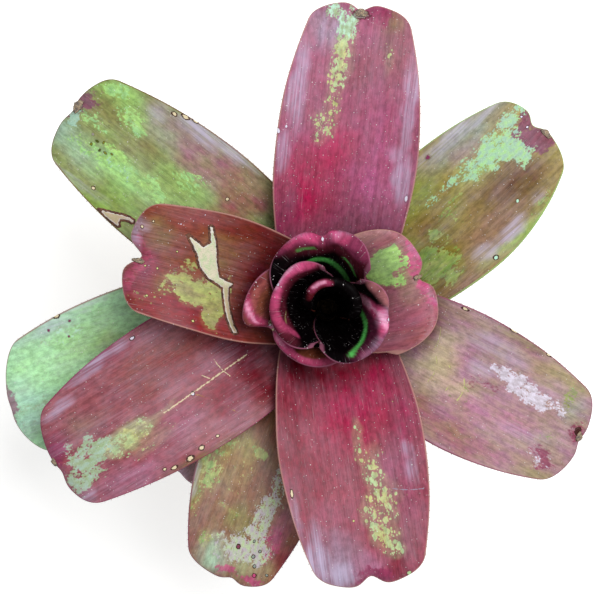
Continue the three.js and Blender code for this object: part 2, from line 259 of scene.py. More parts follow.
class Graph:
    """Short calls that add and link nodes in one tree."""

    def __init__(self, tree: bpy.types.NodeTree) -> None:
        """Takes the node tree to fill."""
        self.tree = tree

    def add(self, kind: str, inputs: dict[str | int, Value] | None = None, **settings: object) -> bpy.types.Node:
        """Adds a node.

        Args:
            kind: its Blender type.
            inputs: sockets by name or number, each given a value or a link.
            settings: properties of the node.

        Returns:
            The node.
        """
        node = self.tree.nodes.new(kind)
        for name, value in settings.items():
            setattr(node, name, value)
        for name, value in (inputs or {}).items():
            self.feed(node.inputs[name], value)
        return node

    def get(
        self, kind: str, inputs: dict[str | int, Value] | None = None, output: str | int = 0, **settings: object
    ) -> Wire:
        """Adds a node, and gives the wire of one output."""
        return Wire(self, self.add(kind, inputs, **settings).outputs[output])

    def feed(self, socket: bpy.types.NodeSocket, value: Value) -> None:
        """Links a socket to a wire, or sets its value."""
        if isinstance(value, Wire):
            self.tree.links.new(value.socket, socket)
        elif isinstance(value, Hue):
            socket.default_value = value.linear[: len(socket.default_value)]
        else:
            socket.default_value = value

    def math(self, operation: str, a: Value, b: Value, clamp: bool = False) -> Wire:
        """One number from two."""
        return self.get("ShaderNodeMath", {0: a, 1: b}, operation=operation, use_clamp=clamp)

    def vector(self, operation: str, a: Value, b: Value = ORIGIN) -> Wire:
        """One vector from two, or their distance, length or dot product."""
        output = "Value" if operation in ("DISTANCE", "LENGTH", "DOT_PRODUCT") else "Vector"
        return self.get("ShaderNodeVectorMath", {0: a, 1: b}, output, operation=operation)

    def parts(self, vector: Value) -> list[Wire]:
        """The x, y and z of a vector."""
        return [Wire(self, socket) for socket in self.add("ShaderNodeSeparateXYZ", {0: vector}).outputs]

    def join(self, x: Value, y: Value, z: Value = 0.0) -> Wire:
        """A vector from three numbers."""
        return self.get("ShaderNodeCombineXYZ", {0: x, 1: y, 2: z})

    def step(self, value: Value, low: Value, high: Value, out: tuple[float, float] = (0.0, 1.0)) -> Wire:
        """Eases a number from out[0] at low to out[1] at high."""
        inputs = {0: value, 1: low, 2: high, 3: out[0], 4: out[1]}
        return self.get("ShaderNodeMapRange", inputs, interpolation_type="SMOOTHSTEP")

    def mix(self, factor: Value, a: Value, b: Value) -> Wire:
        """A blend of two colours."""
        return self.get("ShaderNodeMix", {0: factor, 6: a, 7: b}, 2, data_type="RGBA")

    def scale(self, vector: Value, factor: Value) -> Wire:
        """A vector or colour times a number."""
        return self.get("ShaderNodeVectorMath", {0: vector, "Scale": factor}, operation="SCALE")

    def noise(self, vector: Value, scale: Value, detail: float = 3.0, roughness: float = 0.55) -> Wire:
        """Cloudy noise, about 0.5."""
        inputs = {"Vector": vector, "Scale": scale, "Detail": detail, "Roughness": roughness}
        return self.get("ShaderNodeTexNoise", inputs)

    def cells(self, vector: Value, scale: Value, output: str = "Distance") -> Wire:
        """Distance to, or colour of, the nearest scattered point."""
        return self.get("ShaderNodeTexVoronoi", {"Vector": vector, "Scale": scale}, output)

    def random(self, kind: str, low: Value, high: Value, seed: Value) -> Wire:
        """A random number or vector for each point, from low to high."""
        node = self.add("FunctionNodeRandomValue", data_type=kind)
        live = {socket.name: socket for socket in node.inputs if socket.enabled}
        for name, value in {"Min": low, "Max": high, "Seed": seed}.items():
            self.feed(live[name], value)
        return Wire(self, next(socket for socket in node.outputs if socket.enabled))

    def placed(self, points: Value, instance: Value, finish: Value, **inputs: Value) -> Wire:
        """Puts instances on points, makes them real and gives them their finish."""
        inputs = {name.replace("_", " "): value for name, value in inputs.items()}
        bits = self.get("GeometryNodeInstanceOnPoints", {"Points": points, "Instance": instance, **inputs})
        real = self.get("GeometryNodeRealizeInstances", {"Geometry": bits})
        return self.get("GeometryNodeSetMaterial", {"Geometry": real, "Material": finish})

    def use(self, group: "Group", **inputs: Value) -> list[Wire]:
        """Places a group with its own values, and gives its outputs."""
        named = {key.capitalize(): value for key, value in inputs.items()}
        return [Wire(self, socket) for socket in self.add("ShaderNodeGroup", named, node_tree=group.tree).outputs]


SOCKETS = {
    float: "NodeSocketFloat", int: "NodeSocketInt", tuple: "NodeSocketVector", "geometry": "NodeSocketGeometry",
    "object": "NodeSocketObject", "material": "NodeSocketMaterial", "ShaderNodeTree": "NodeSocketFloat",
    "GeometryNodeTree": "NodeSocketGeometry",
}


@dataclass
class Group:
    """A node group, built once, at its first use.

    Its recipe takes a graph and the group's inputs, whose defaults are values or kinds in words, and
    returns the group's outputs by name.
    """

    recipe: Callable[..., dict[str, Wire]]
    kind: str = "ShaderNodeTree"

    @cached_property
    def tree(self) -> bpy.types.NodeTree:
        """The group's node tree."""
        tree = bpy.data.node_groups.new(self.recipe.__name__.replace("_", " ").title(), self.kind)
        graph, new_socket = Graph(tree), tree.interface.new_socket
        inputs = {name.capitalize(): item.default for name, item in list(signature(self.recipe).parameters.items())[1:]}
        for name, value in inputs.items():
            in_words = isinstance(value, str)
            socket = new_socket(name=name, in_out="INPUT", socket_type=SOCKETS[value if in_words else type(value)])
            if not in_words:
                socket.default_value = value
        start = tree.nodes.new("NodeGroupInput")
        results = self.recipe(graph, *(Wire(graph, start.outputs[name]) for name in inputs))
        for name in results:
            new_socket(name=name, in_out="OUTPUT", socket_type=SOCKETS[self.kind])
        end = tree.nodes.new("NodeGroupOutput")
        for name, wire in results.items():
            graph.feed(end.inputs[name], wire)
        return tree


# ---- shared effects ----
# A leaf's place is always (mm from its base, mm from its midrib, mm from its edge).
@Group
def lengthwise_streaks(g: Graph, place: Value = ORIGIN, pitch: Value = 1.2, seed: Value = 0.0) -> dict[str, Wire]:
    """Fine lines that run the length of a leaf."""
    x, y, _ = g.parts(place)
    across = y / pitch
    hair = g.join(x * 0.05, across * 2.4, seed + 9.0)
    patchy = g.join(x * 0.07, y * 0.12, seed)
    # broken thin pale lines: partly scratches, partly painted glints along the fine ridges
    nicks = g.step(g.noise(hair, 1.0, 2.0, 0.6), 0.62, 0.72) * g.step(g.noise(patchy, 1.0, 2.0), 0.42, 0.62)
    wide = g.noise(g.join(x * 0.012, across * 0.33, seed), 1.0, 2.0)
    thin = g.noise(g.join(x * 0.03, across, seed), 1.0, 3.0, 0.6)
    return {"Tone": g.step(wide * 0.5 + thin * 0.5, 0.34, 0.66), "Height": thin, "Nicks": nicks}


@Group
def ragged_islands(
    g: Graph, place: Value = ORIGIN, amount: Value = 0.0, grain: Value = 3.0, stretch: Value = 1.5, edge: Value = 0.05,
    dots: Value = 0.2, seed: Value = 0.0,
) -> dict[str, Wire]:
    """Islands with broken edges, which thin out into dots where the amount is less."""
    x, y, _ = g.parts(place)
    spot = g.join(x / (grain * stretch), y / grain, seed)
    broad = g.step(g.noise(spot, 0.6, 2.0), 0.3, 0.7)
    fine = g.step(g.noise(spot, 2.4, 3.0, 0.7), 0.28, 0.72)
    large, small = g.step(g.cells(spot, 1.3), 0.62, 0.14), g.step(g.cells(spot, 3.1), 0.55, 0.1, (0.0, 0.75))
    blots = broad * 0.3 + g.math("MAXIMUM", large, small) * 0.7
    cloud = broad * 0.55 + fine * 0.45
    cloud = cloud + (blots - cloud) * dots
    level = 1.0 - amount * (0.84 - dots * 0.2)
    return {"Mask": g.step(cloud, level - edge, level + edge) * g.step(amount, 0.02, 0.12)}


@Group
def leaf_clouds(
    g: Graph, place: Value = ORIGIN, grain: Value = 15.0, stretch: Value = 1.8, seed: Value = 0.0
) -> dict[str, Wire]:
    """Soft clouds, drawn out along the leaf."""
    x, y, _ = g.parts(place)
    spot = g.join(x / (grain * stretch), y / grain, seed)
    return {"Value": g.step(g.noise(spot, 1.0, 4.0, 0.55), 0.33, 0.67)}


@Group
def scattered_specks(
    g: Graph, place: Value = ORIGIN, spacing: Value = 3.0, size: Value = 0.4, share: Value = 0.5, seed: Value = 0.0
) -> dict[str, Wire]:
    """Round specks of uneven size."""
    x, y, _ = g.parts(place)
    spot, scale = g.join(x, y, seed), 1.0 / spacing
    pick, grade, _ = g.parts(g.cells(spot, scale, "Color"))
    radius = size * (grade * 0.8 + 0.4)
    inside = g.step(g.cells(spot, scale) * spacing, radius, radius * 0.6)
    return {"Mask": inside * g.math("LESS_THAN", pick, share)}


@Group
def healed_scab(
    g: Graph, place: Value = ORIGIN, at: Value = ORIGIN, long: Value = 2.0, wide: Value = 2.0
) -> dict[str, Wire]:
    """A pale core inside a dark ring, with an uneven outline."""
    x, y, _ = g.parts(g.vector("SUBTRACT", place, at))
    wobble = g.noise(place, 0.55, 3.0, 0.6)
    reach = g.vector("LENGTH", g.join(x / long, y / wide)) + (wobble - 0.5) * 1.1
    core = g.step(reach, 0.72, 0.55)
    return {"Core": core, "Ring": g.math("SUBTRACT", g.step(reach, 1.12, 0.92), core, clamp=True)}


@Group
def thin_scratch(
    g: Graph, place: Value = ORIGIN, start: Value = ORIGIN, end: Value = ORIGIN, width: Value = 0.5, bow: Value = 0.0
) -> dict[str, Wire]:
    """A thin broken line between two points of a leaf."""
    x, y, _ = g.parts(place)
    flat = g.join(x, y)
    run, away = g.vector("SUBTRACT", end, start), g.vector("SUBTRACT", flat, start)
    share = g.math("DIVIDE", g.vector("DOT_PRODUCT", away, run), g.vector("DOT_PRODUCT", run, run), clamp=True)
    bowed = g.vector("ADD", g.scale(run, share), g.join(share * (1.0 - share) * bow, 0.0))
    uneven = width * g.step(g.noise(flat, 0.5, 3.0, 0.7), 0.36, 0.62, (0.15, 1.2))
    return {"Mask": g.step(g.vector("DISTANCE", away, bowed), uneven, uneven * 0.3)}


@Group
def body_mottle(g: Graph, place: Value = ORIGIN, size: Value = 0.02) -> dict[str, Wire]:
    """Soft clouds and fine grit through the body of a thing."""
    scale = 1.0 / size
    clouds = g.step(g.noise(place, scale, 4.0, 0.6), 0.32, 0.68)
    return {"Clouds": clouds, "Grit": g.noise(place, scale * 14.0, 3.0, 0.65)}


# ---- finishes ----
@dataclass
class Coat:
    """A material in the making: its nodes, its Principled shader and the colour laid so far."""

    graph: Graph
    shader: bpy.types.Node
    colour: Value

    def read(self, name: str, output: str = "Vector") -> Wire:
        """Reads one of the piece's own attributes."""
        return self.graph.get("ShaderNodeAttribute", None, output, attribute_name=name)

    def place(self) -> Wire:
        """The object coordinates."""
        return self.graph.get("ShaderNodeTexCoord", None, "Object")

    def lay(self, mask: Value, colour: Value) -> None:
        """Lays a colour over what is there, as strongly as the mask says."""
        self.colour = self.graph.mix(mask, self.colour, colour)

    def bump(self, height: Wire, distance: float, strength: float = 1.0) -> None:
        """Raises the surface by height times distance, in metres."""
        inputs = {"Height": height, "Distance": distance, "Strength": strength}
        self.feed("Normal", self.graph.get("ShaderNodeBump", inputs))

    def feed(self, socket: str, value: Value) -> None:
        """Links or sets one of the shader's sockets."""
        self.graph.feed(self.shader.inputs[socket], value)


@dataclass(frozen=True)
class Finish:
    """A surface: its material's name, its roughness, how strong its plain gloss is and its first colour."""

    name: str
    roughness: float
    specular: float = 0.3
    base: Hue = Hue.FLOOR

    def material(self) -> bpy.types.Material:
        """Makes the material."""
        material = bpy.data.materials.new(self.name)
        material.use_nodes = True
        tree = material.node_tree
        coat = Coat(Graph(tree), tree.nodes["Principled BSDF"], self.base)
        coat.feed("Roughness", self.roughness)
        coat.feed("Specular IOR Level", self.specular)
        self.dress(coat)
        coat.feed("Base Color", coat.colour)
        return material

    def dress(self, coat: Coat) -> None:
        """Adds colour and relief."""
        raise NotImplementedError


@dataclass(frozen=True)
class FiredClay(Finish):
    """Fired clay, paler where salts have dried and darker where it is damp. Heights are in metres."""

    name: str = "fired_clay"
    roughness: float = 0.85
    base: Hue = Hue.CLAY
    paleness: float = 0.6
    salts: float = 0.45
    salt_from: tuple[float, float] = (0.085, 0.125)
    damp: float = 0.45
    damp_below: tuple[float, float] = (0.035, 0.005)

    def dress(self, coat: Coat) -> None:
        """Mottles the clay, with a salt band above and a damp foot."""
        g, place = coat.graph, coat.place()
        clouds, grit = g.use(body_mottle, place=place, size=0.03)
        x, y, z = g.parts(place)
        coat.lay(clouds * self.paleness, Hue.CLAY_PALE)
        coat.lay(g.step(grit, 0.62, 0.75, (0.0, 0.5)), Hue.CLAY_DARK)
        salt = g.step(z + g.noise(place, 55.0, 5.0, 0.65) * 0.05, *self.salt_from)
        coat.lay(salt * g.step(grit, 0.3, 0.6, (0.25, 1.0)) * self.salts, Hue.LIME_BLOOM)
        damp = g.step(z + g.noise(place, 40.0) * 0.03, *self.damp_below)
        coat.lay(damp * self.damp, Hue.CLAY_DARK)
        rings = g.noise(g.join(x * 2.0, y * 2.0, z * 700.0), 1.0, 2.0)
        coat.lay(g.step(rings, 0.5, 0.8, (0.0, 0.3)), Hue.CLAY_DARK)
        coat.feed("Roughness", 0.92 - damp * 0.2)
        coat.bump(rings * 0.4 + grit, 0.0006, 0.8)


@dataclass(frozen=True)
class PeatMix(Finish):
    """Dark damp peat with paler fibres."""

    name: str = "peat_mix"
    roughness: float = 0.9
    specular: float = 0.25
    base: Hue = Hue.PEAT
    fibres: float = 0.6

    def dress(self, coat: Coat) -> None:
        """Clouds of two browns, crossed by fibres."""
        g, place = coat.graph, coat.place()
        clouds, grit = g.use(body_mottle, place=place, size=0.012)
        coat.lay(clouds, Hue.PEAT_LIGHT)
        fibre = g.step(g.noise(g.vector("MULTIPLY", place, (900.0, 240.0, 600.0)), 1.0, 3.0, 0.7), 0.6, 0.72)
        coat.lay(fibre * self.fibres, Hue.BARK_PALE)
        coat.bump(grit, 0.0015)


@dataclass(frozen=True)
class SplitBark(Finish):
    """Composted bark: dark skin and pale corky breaks."""

    name: str = "composted_bark"
    roughness: float = 0.8
    base: Hue = Hue.BARK

    def dress(self, coat: Coat) -> None:
        """Clouds of two browns with dark grit."""
        clouds, grit = coat.graph.use(body_mottle, place=coat.place(), size=0.006)
        coat.lay(clouds, Hue.BARK_PALE)
        coat.lay(coat.graph.step(grit, 0.5, 0.7), Hue.PEAT)
        coat.bump(grit, 0.0008)


@dataclass(frozen=True)
class PerliteGrain(Finish):
    """Chalky white grains."""

    name: str = "perlite_grain"
    roughness: float = 0.95
    specular: float = 0.2
    base: Hue = Hue.PERLITE
    soil: float = 0.35

    def dress(self, coat: Coat) -> None:
        """White, a little soiled."""
        clouds, grit = coat.graph.use(body_mottle, place=coat.place(), size=0.004)
        coat.lay(clouds * self.soil, Hue.BARK_PALE)
        coat.bump(grit, 0.0006)


@dataclass(frozen=True)
class StemCork(Finish):
    """Brown cork, ringed with leaf scars."""

    name: str = "stem_cork"
    roughness: float = 0.8
    base: Hue = Hue.STEM_BROWN

    def dress(self, coat: Coat) -> None:
        """Two browns with rings across."""
        g, place = coat.graph, coat.place()
        clouds, grit = g.use(body_mottle, place=place, size=0.008)
        x, y, z = g.parts(place)
        ring = g.noise(g.join(x * 12.0, y * 12.0, z * 420.0), 1.0, 3.0)
        coat.lay(clouds, Hue.STEM_DARK)
        coat.lay(g.step(ring, 0.5, 0.65), Hue.STEM_DARK)
        coat.bump(ring + grit, 0.0008)


@dataclass(frozen=True)
class ToothHorn(Finish):
    """Dark horny spines."""

    name: str = "tooth_horn"
    roughness: float = 0.45
    specular: float = 0.5
    base: Hue = Hue.SPINE

    def dress(self, coat: Coat) -> None:
        """Shaded from dark to russet."""
        g = coat.graph
        coat.lay(g.step(g.noise(coat.place(), 900.0, 2.0), 0.4, 0.6), Hue.RUSSET)


@dataclass(frozen=True)
class DeadSkin(Finish):
    """Papery leaf skin: cream, with green showing through and tan where it is torn."""

    name: str = "dead_skin"
    roughness: float = 0.75
    base: Hue = Hue.PAPER
    green: float = 0.6

    def dress(self, coat: Coat) -> None:
        """Wrinkled, pale near the edge, partly the dry skin's own pale edge and partly a painted highlight on the
        raised edge, and dark along it.
        """
        g, place = coat.graph, coat.read("place")
        x, y, edge = g.parts(place)
        coat.lay(g.step(g.noise(place, 0.22, 4.0, 0.6), 0.42, 0.62, (0.0, self.green)), Hue.MINT_LIME)
        coat.lay(g.step(y, 3.0, 9.0, (0.0, 0.5)), Hue.PAPER_TAN)
        wrinkle = g.noise(g.join(x * 0.5, y * 1.6), 1.0, 4.0, 0.65)
        coat.lay(g.step(wrinkle, 0.55, 0.75, (0.0, 0.5)), Hue.ASH)
        # the pale band inside the edge is partly the dry skin's own colour and partly painted highlight
        coat.lay(g.step(edge, 1.3, 0.6) * 0.6, Hue.SCURF)
        coat.lay(g.step(edge, 0.45, 0.15, (0.0, 0.8)), Hue.SCAB_RIM)
        coat.bump(wrinkle, 0.0006)


@dataclass(frozen=True)
class DeadTissue(Finish):
    """Brown shrivelled tissue, bleached in part."""

    name: str = "dead_tissue"
    roughness: float = 0.7
    base: Hue = Hue.SCAB_RIM
    bleached: float = 0.9

    def dress(self, coat: Coat) -> None:
        """Dark browns under pale crusts."""
        g = coat.graph
        clouds, grit = g.use(body_mottle, place=coat.place(), size=0.0022)
        coat.lay(clouds, Hue.RUSSET)
        coat.lay(g.step(grit, 0.42, 0.54, (0.0, self.bleached)), g.mix(clouds, Hue.ASH, Hue.SCAB_CREAM))
        coat.bump(grit, 0.0006)


@dataclass(frozen=True)
class PaleFloor(Finish):
    """The studio floor."""

    name: str = "pale_floor"
    roughness: float = 0.9
    specular: float = 0.1
    glow: float = 0.48

    def dress(self, coat: Coat) -> None:
        """Plain, and lit a little from within."""
        coat.feed("Emission Color", (1.0, 1.0, 1.0, 1.0))
        coat.feed("Emission Strength", self.glow)


# ---- meshes ----
def linked(name: str, mesh: bpy.types.Mesh, *materials: bpy.types.Material) -> bpy.types.Object:
    """Links a new object at the origin, smooth where it is given materials.

    Args:
        name: its name.
        mesh: its mesh.
        materials: its material slots.

    Returns:
        The object.
    """
    for material in materials:
        mesh.materials.append(material)
    if materials:
        mesh.polygons.foreach_set("use_smooth", np.ones(len(mesh.polygons), bool))
    obj = bpy.data.objects.new(name, mesh)
    bpy.context.scene.collection.objects.link(obj)
    return obj


def make_piece(
    name: str, points: np.ndarray, faces: list[tuple[int, ...]], *materials: bpy.types.Material,
    face_materials: np.ndarray | None = None,
) -> bpy.types.Object:
    """Makes a smooth mesh object.

    Args:
        name: the piece's name.
        points: its vertices, in millimetres.
        faces: corners of each face.
        materials: its material slots.
        face_materials: the slot of each face.

    Returns:
        The linked object.
    """
    mesh = bpy.data.meshes.new(name)
    mesh.from_pydata((np.asarray(points, float) * MM).tolist(), [], faces)
    piece = linked(name, mesh, *materials)
    if face_materials is not None:
        mesh.polygons.foreach_set("material_index", face_materials.astype(np.int32))
    mesh.update()
    return piece


def from_bmesh(name: str, shape: bmesh.types.BMesh, *materials: bpy.types.Material) -> bpy.types.Object:
    """Links a new object made of a bmesh, which is used up."""
    mesh = bpy.data.meshes.new(name)
    shape.to_mesh(mesh)
    shape.free()
    return linked(name, mesh, *materials)


def give_numbers(mesh: bpy.types.Mesh, name: str, kind: str, values: np.ndarray) -> None:
    """Stores an attribute on a mesh's points."""
    attribute = mesh.attributes.new(name, kind, "POINT")
    key = "color" if kind == "FLOAT_COLOR" else "vector"
    attribute.data.foreach_set(key, values.astype(np.float32).ravel())


def settle(obj: bpy.types.Object, slot: str, *nodes: str) -> bpy.types.Object:
    """Tells the frame what a finished piece rides on and stands for.

    Args:
        obj: the piece.
        slot: not used.
        nodes: the solids that it replaces.

    Returns:
        The piece.
    """
    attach(obj, BODY)
    if nodes:
        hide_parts(*nodes)
    LOG.info("%s: %d faces", obj.name, len(obj.data.polygons))
    return obj


@dataclass
class Turned:
    """A closed solid of revolution, with an optional relief on its surface."""

    profile: list[tuple[float, float]]
    sides: int = 96
    relief: Callable[[float, float, float], tuple[float, float]] | None = None

    def mesh(self) -> tuple[np.ndarray, list[tuple[int, ...]]]:
        """Turns the profile, which starts and ends on the axis or closes on itself.

        Returns:
            Its points in millimetres, and its faces, which look outwards.
        """
        points: list[tuple[float, float, float]] = []
        rings: list[list[int]] = []
        for r, z in self.profile:
            if r < 1e-6:
                rings.append([len(points)])
                points.append((0.0, 0.0, z))
                continue
            start = len(points)
            for k in range(self.sides):
                angle = 2.0 * math.pi * k / self.sides
                dr, dz = self.relief(r, z, angle) if self.relief else (0.0, 0.0)
                points.append(((r + dr) * math.cos(angle), (r + dr) * math.sin(angle), z + dz))
            rings.append(list(range(start, start + self.sides)))
        pairs = list(zip(rings[:-1], rings[1:], strict=True))
        if len(rings[0]) > 1:
            pairs.append((rings[-1], rings[0]))
        faces: list[tuple[int, ...]] = []
        for low, high in pairs:
            for k in range(self.sides):
                j = (k + 1) % self.sides
                if len(low) == 1:
                    faces.append((low[0], high[j], high[k]))
                elif len(high) == 1:
                    faces.append((low[k], low[j], high[0]))
                else:
                    faces.append((low[k], low[j], high[j], high[k]))
        return np.array(points), faces


def rounded(corners: list[tuple[float, float, float]], steps: int = 5) -> list[tuple[float, float]]:
    """Rounds a profile's corners.

    Args:
        corners: (radius, height, rounding) of each corner, in millimetres.
        steps: points in each rounding.

    Returns:
        The profile's points.
    """
    out: list[tuple[float, float]] = []
    for i, (r, z, soft) in enumerate(corners):
        if soft <= 0.0 or i in (0, len(corners) - 1):
            out.append((r, z))
            continue
        here = np.array([r, z])
        before = np.array(corners[i - 1][:2]) - here
        after = np.array(corners[i + 1][:2]) - here
        start = here + before * min(0.49, soft / np.linalg.norm(before))
        end = here + after * min(0.49, soft / np.linalg.norm(after))
        for k in range(steps + 1):
            t = k / steps
            p = (1 - t) ** 2 * start + 2 * t * (1 - t) * here + t * t * end
            out.append((float(p[0]), float(p[1])))
    return out


def spaced(profile: list[tuple[float, float]], pitch: float) -> list[tuple[float, float]]:
    """Adds points to a profile so that no two lie further apart than pitch."""
    out = [profile[0]]
    for (r0, z0), (r1, z1) in zip(profile[:-1], profile[1:], strict=True):
        count = max(1, math.ceil(math.hypot(r1 - r0, z1 - z0) / pitch))
        out += [(r0 + (r1 - r0) * k / count, z0 + (z1 - z0) * k / count) for k in range(1, count + 1)]
    return out


# ---- the leaves' form ----
@dataclass(frozen=True)
class LeafForm:
    """The form of one leaf: lengths in millimetres, angles in degrees."""

    name: str
    shell: int
    azimuth: float
    length: float
    half_width: float
    rise: tuple[float, float, float, float]
    swing: float = 0.0
    lopside: float = 0.0
    tip_round: float = 0.55
    tip_power: float = 2.3
    tip_width: float = 0.7
    notch: float = 3.0
    notch_width: float = 0.22
    notch_at: float = 0.0
    short_lobe: float = 0.0
    sheath_width: float = 0.85
    rolled: bool = False
    flatten: tuple[float, float] = (20.0, 110.0)
    dish: float = 0.0015
    curl: tuple[float, float] = (9.0, 35.0)
    wave: float = 1.2
    wave_length: float = 70.0


class LeafSurface:
    """A leaf's mid surface, by distance s along the leaf and v from -1 to 1 across it."""

    def __init__(self, form: LeafForm) -> None:
        """Walks the midrib out from the base in short steps, each with its slope and heading."""
        self.form = form
        base = FIRST_SHELL_RADIUS + SHELL_PITCH * form.shell
        u = np.linspace(0.0, 1.0, MIDRIB_STEPS + 1)
        w = 1.0 - u
        c = form.rise
        self.stations = u
        self.slope = np.radians(c[0] * w**3 + 3 * c[1] * u * w * w + 3 * c[2] * u * u * w + c[3] * u**3)
        self.heading = np.radians(form.azimuth + form.swing * u * u)
        slope = (self.slope[1:] + self.slope[:-1]) / 2
        heading = (self.heading[1:] + self.heading[:-1]) / 2
        step = np.stack([np.cos(slope) * np.cos(heading), np.cos(slope) * np.sin(heading), np.sin(slope)], axis=-1)
        start_angle = math.radians(form.azimuth)
        height = HEART_HEIGHT - SHELL_DROP * (base - FIRST_SHELL_RADIUS)
        start = np.array([base * math.cos(start_angle), base * math.sin(start_angle), height])
        walked = np.cumsum(step * form.length / MIDRIB_STEPS, axis=0)
        self.midrib = np.vstack([start, start + walked])

    def width_at(self, s: np.ndarray) -> np.ndarray:
        """The half width at s."""
        f = self.form
        u = s / f.length
        wide = f.half_width * lerp(f.sheath_width, 1.0, smoothstep(0.0, WIDEST_AT, u))
        t = np.maximum(0.0, (u - WIDEST_AT) / (1.0 - WIDEST_AT))
        return wide * (1.0 - (1.0 - f.tip_width) * t * t)

    def end_at(self, v: np.ndarray) -> np.ndarray:
        """The length along the column at v: round corners, and a notch at the apex."""
        f = self.form
        a = np.minimum(np.abs(v), 0.999)
        corner = 1.0 - (1.0 - a**f.tip_power) ** (1.0 / f.tip_power)
        notch = f.notch * np.exp(-(((v - f.notch_at) / f.notch_width) ** 2))
        lobe = f.short_lobe * smoothstep(f.notch_at - f.notch_width, f.notch_at + f.notch_width, v)
        return f.length - f.tip_round * f.half_width * f.tip_width * corner - notch - lobe

    def across_at(self, s: np.ndarray, v: np.ndarray) -> np.ndarray:
        """How far from the midrib v lies at s, along the surface."""
        return v * self.width_at(s) * (1.0 + self.form.lopside * v)

    def at(self, s: np.ndarray, v: np.ndarray) -> np.ndarray:
        """The points of the mid surface at s and v."""
        f = self.form
        curl_length = f.curl[0]
        curl_angle = math.radians(f.curl[1]) * (1.0 - CURL_FADE * v**4)
        curl_start = self.end_at(v) - curl_length
        curled = np.clip((s - curl_start) / curl_length, 0.0, 1.0)
        along = np.minimum(s, curl_start)
        x = along / f.length
        point = np.stack([np.interp(x, self.stations, self.midrib[:, i]) for i in range(3)], axis=-1)
        slope = np.interp(x, self.stations, self.slope)
        heading = np.interp(x, self.stations, self.heading)
        zero = np.zeros_like(slope)
        out = np.stack([np.cos(heading), np.sin(heading), zero], axis=-1)
        side = np.stack([-np.sin(heading), np.cos(heading), zero], axis=-1)
        up = np.array([0.0, 0.0, 1.0])
        level, steep = np.cos(slope)[..., None], np.sin(slope)[..., None]
        tangent = out * level + up * steep
        normal = -out * steep + up * level
        radius = np.hypot(point[..., 0], point[..., 1])
        blade = zero if f.rolled else smoothstep(*f.flatten, along)
        bend = (1.0 - blade) / radius + blade * (np.sin(np.maximum(slope, 0.0)) / radius + f.dish)
        across = self.across_at(s, v)
        across = across / (1.0 + (across / (WRAP_LIMIT * radius)) ** 4) ** 0.25
        turn = across * bend
        cos_turn, sin_turn = np.cos(turn)[..., None], np.sin(turn)[..., None]
        share = blade[..., None]
        inward = unit(out * (share - 1.0) + normal * share)
        spoke = out * cos_turn + side * sin_turn
        t = unit(lerp(spoke * level + up * steep, tangent, share))
        n = unit(lerp(-spoke * steep + up * level, normal * cos_turn - side * sin_turn, share))
        curl_radius = curl_length / curl_angle
        phase = np.where(v > 0.0, WAVE_OFFSET, 0.0)
        wave = f.wave * np.abs(v) ** 3 * smoothstep(*WAVE_GROWS, s) * np.sin(2.0 * np.pi * s / f.wave_length + phase)
        forward = curl_radius * np.sin(curl_angle * curled)
        drop = wave - curl_radius * (1.0 - np.cos(curl_angle * curled))
        arc = side * sin_turn + inward * (1.0 - cos_turn)
        return point + arc / bend[..., None] + t * forward[..., None] + n * drop[..., None]

    def thickness_at(self, s: np.ndarray, v: np.ndarray) -> np.ndarray:
        """The leaf's thickness at s and v."""
        body = lerp(SHEATH_THICKNESS, BLADE_THICKNESS, smoothstep(*THICKEN, s))
        return lerp(body, MARGIN_THICKNESS, v**4)

    def relief_at(self, s: np.ndarray, across: np.ndarray) -> np.ndarray:
        """Low folds and dimples of the blade, which fade towards the sheath."""
        seed = self.form.shell * 1.9
        long = np.sin(s / 17.0 + seed + across / 31.0) * np.sin(across / 9.5 + seed * 1.7)
        short = np.sin(s / 6.3 + across / 5.1 + seed) * np.sin(across / 4.3 - s / 11.0 + seed * 0.6)
        groove = -np.exp(-((across / 2.6) ** 2))
        return RELIEF * smoothstep(30.0, 100.0, s) * (0.8 * long + 0.22 * short + 0.5 * groove)

    def v_at(self, s: np.ndarray, across: np.ndarray) -> np.ndarray:
        """The v that lies a given way from the midrib at s."""
        wide = self.width_at(s)
        return 2.0 * across / (wide + np.sqrt(wide * wide + 4.0 * self.form.lopside * wide * across))

    def over(self, s: np.ndarray, across: np.ndarray, lift: np.ndarray | float) -> np.ndarray:
        """Points a given lift above the leaf's upper face.

        Args:
            s: how far they lie along the leaf.
            across: how far they lie from its midrib.
            lift: how far they stand above the face.

        Returns:
            The points, in millimetres.
        """
        v = np.clip(self.v_at(s, across), -0.99, 0.99)
        along_step = self.at(s + 0.4, v) - self.at(s - 0.4, v)
        across_step = self.at(s, v + 0.01) - self.at(s, v - 0.01)
        rise = self.thickness_at(s, v) / 2.0 + self.relief_at(s, across) + lift
        return self.at(s, v) + unit(np.cross(along_step, across_step)) * rise[..., None]


# ---- how each leaf is coloured ----
@dataclass(frozen=True)
class Touch:
    """A soft patch: its place by share of the length and of the half width, its reach in millimetres."""

    u: float
    v: float
    long: float
    wide: float
    strength: float = 1.0

    def weight(self, surface: LeafSurface, s: np.ndarray, across: np.ndarray, soft: float = 0.55) -> np.ndarray:
        """How strongly the patch shows at each point of a leaf."""
        here = np.float64(self.u * surface.form.length)
        middle = surface.across_at(here, np.float64(self.v))
        reach = np.hypot((s - here) / self.long, (across - middle) / self.wide)
        return self.strength * (1.0 - smoothstep(1.0 - soft, 1.0 + soft, reach))


@dataclass(frozen=True)
class Wound:
    """A healed scab: how far it lies along and across the leaf, and its size, in millimetres."""

    along: float
    across: float
    long: float
    wide: float
    core: Hue = Hue.SCAB_CREAM
    ring: float = 1.0


@dataclass(frozen=True)
class Line:
    """A scratch from one (along, across) place of a leaf to another, with its width and bow, in millimetres."""

    along: float
    across: float
    to_along: float
    to_across: float
    width: float = 0.6
    bow: float = 0.0
    hue: Hue = Hue.SCAB_CREAM


Rows = tuple[tuple[Hue | float, ...], ...]


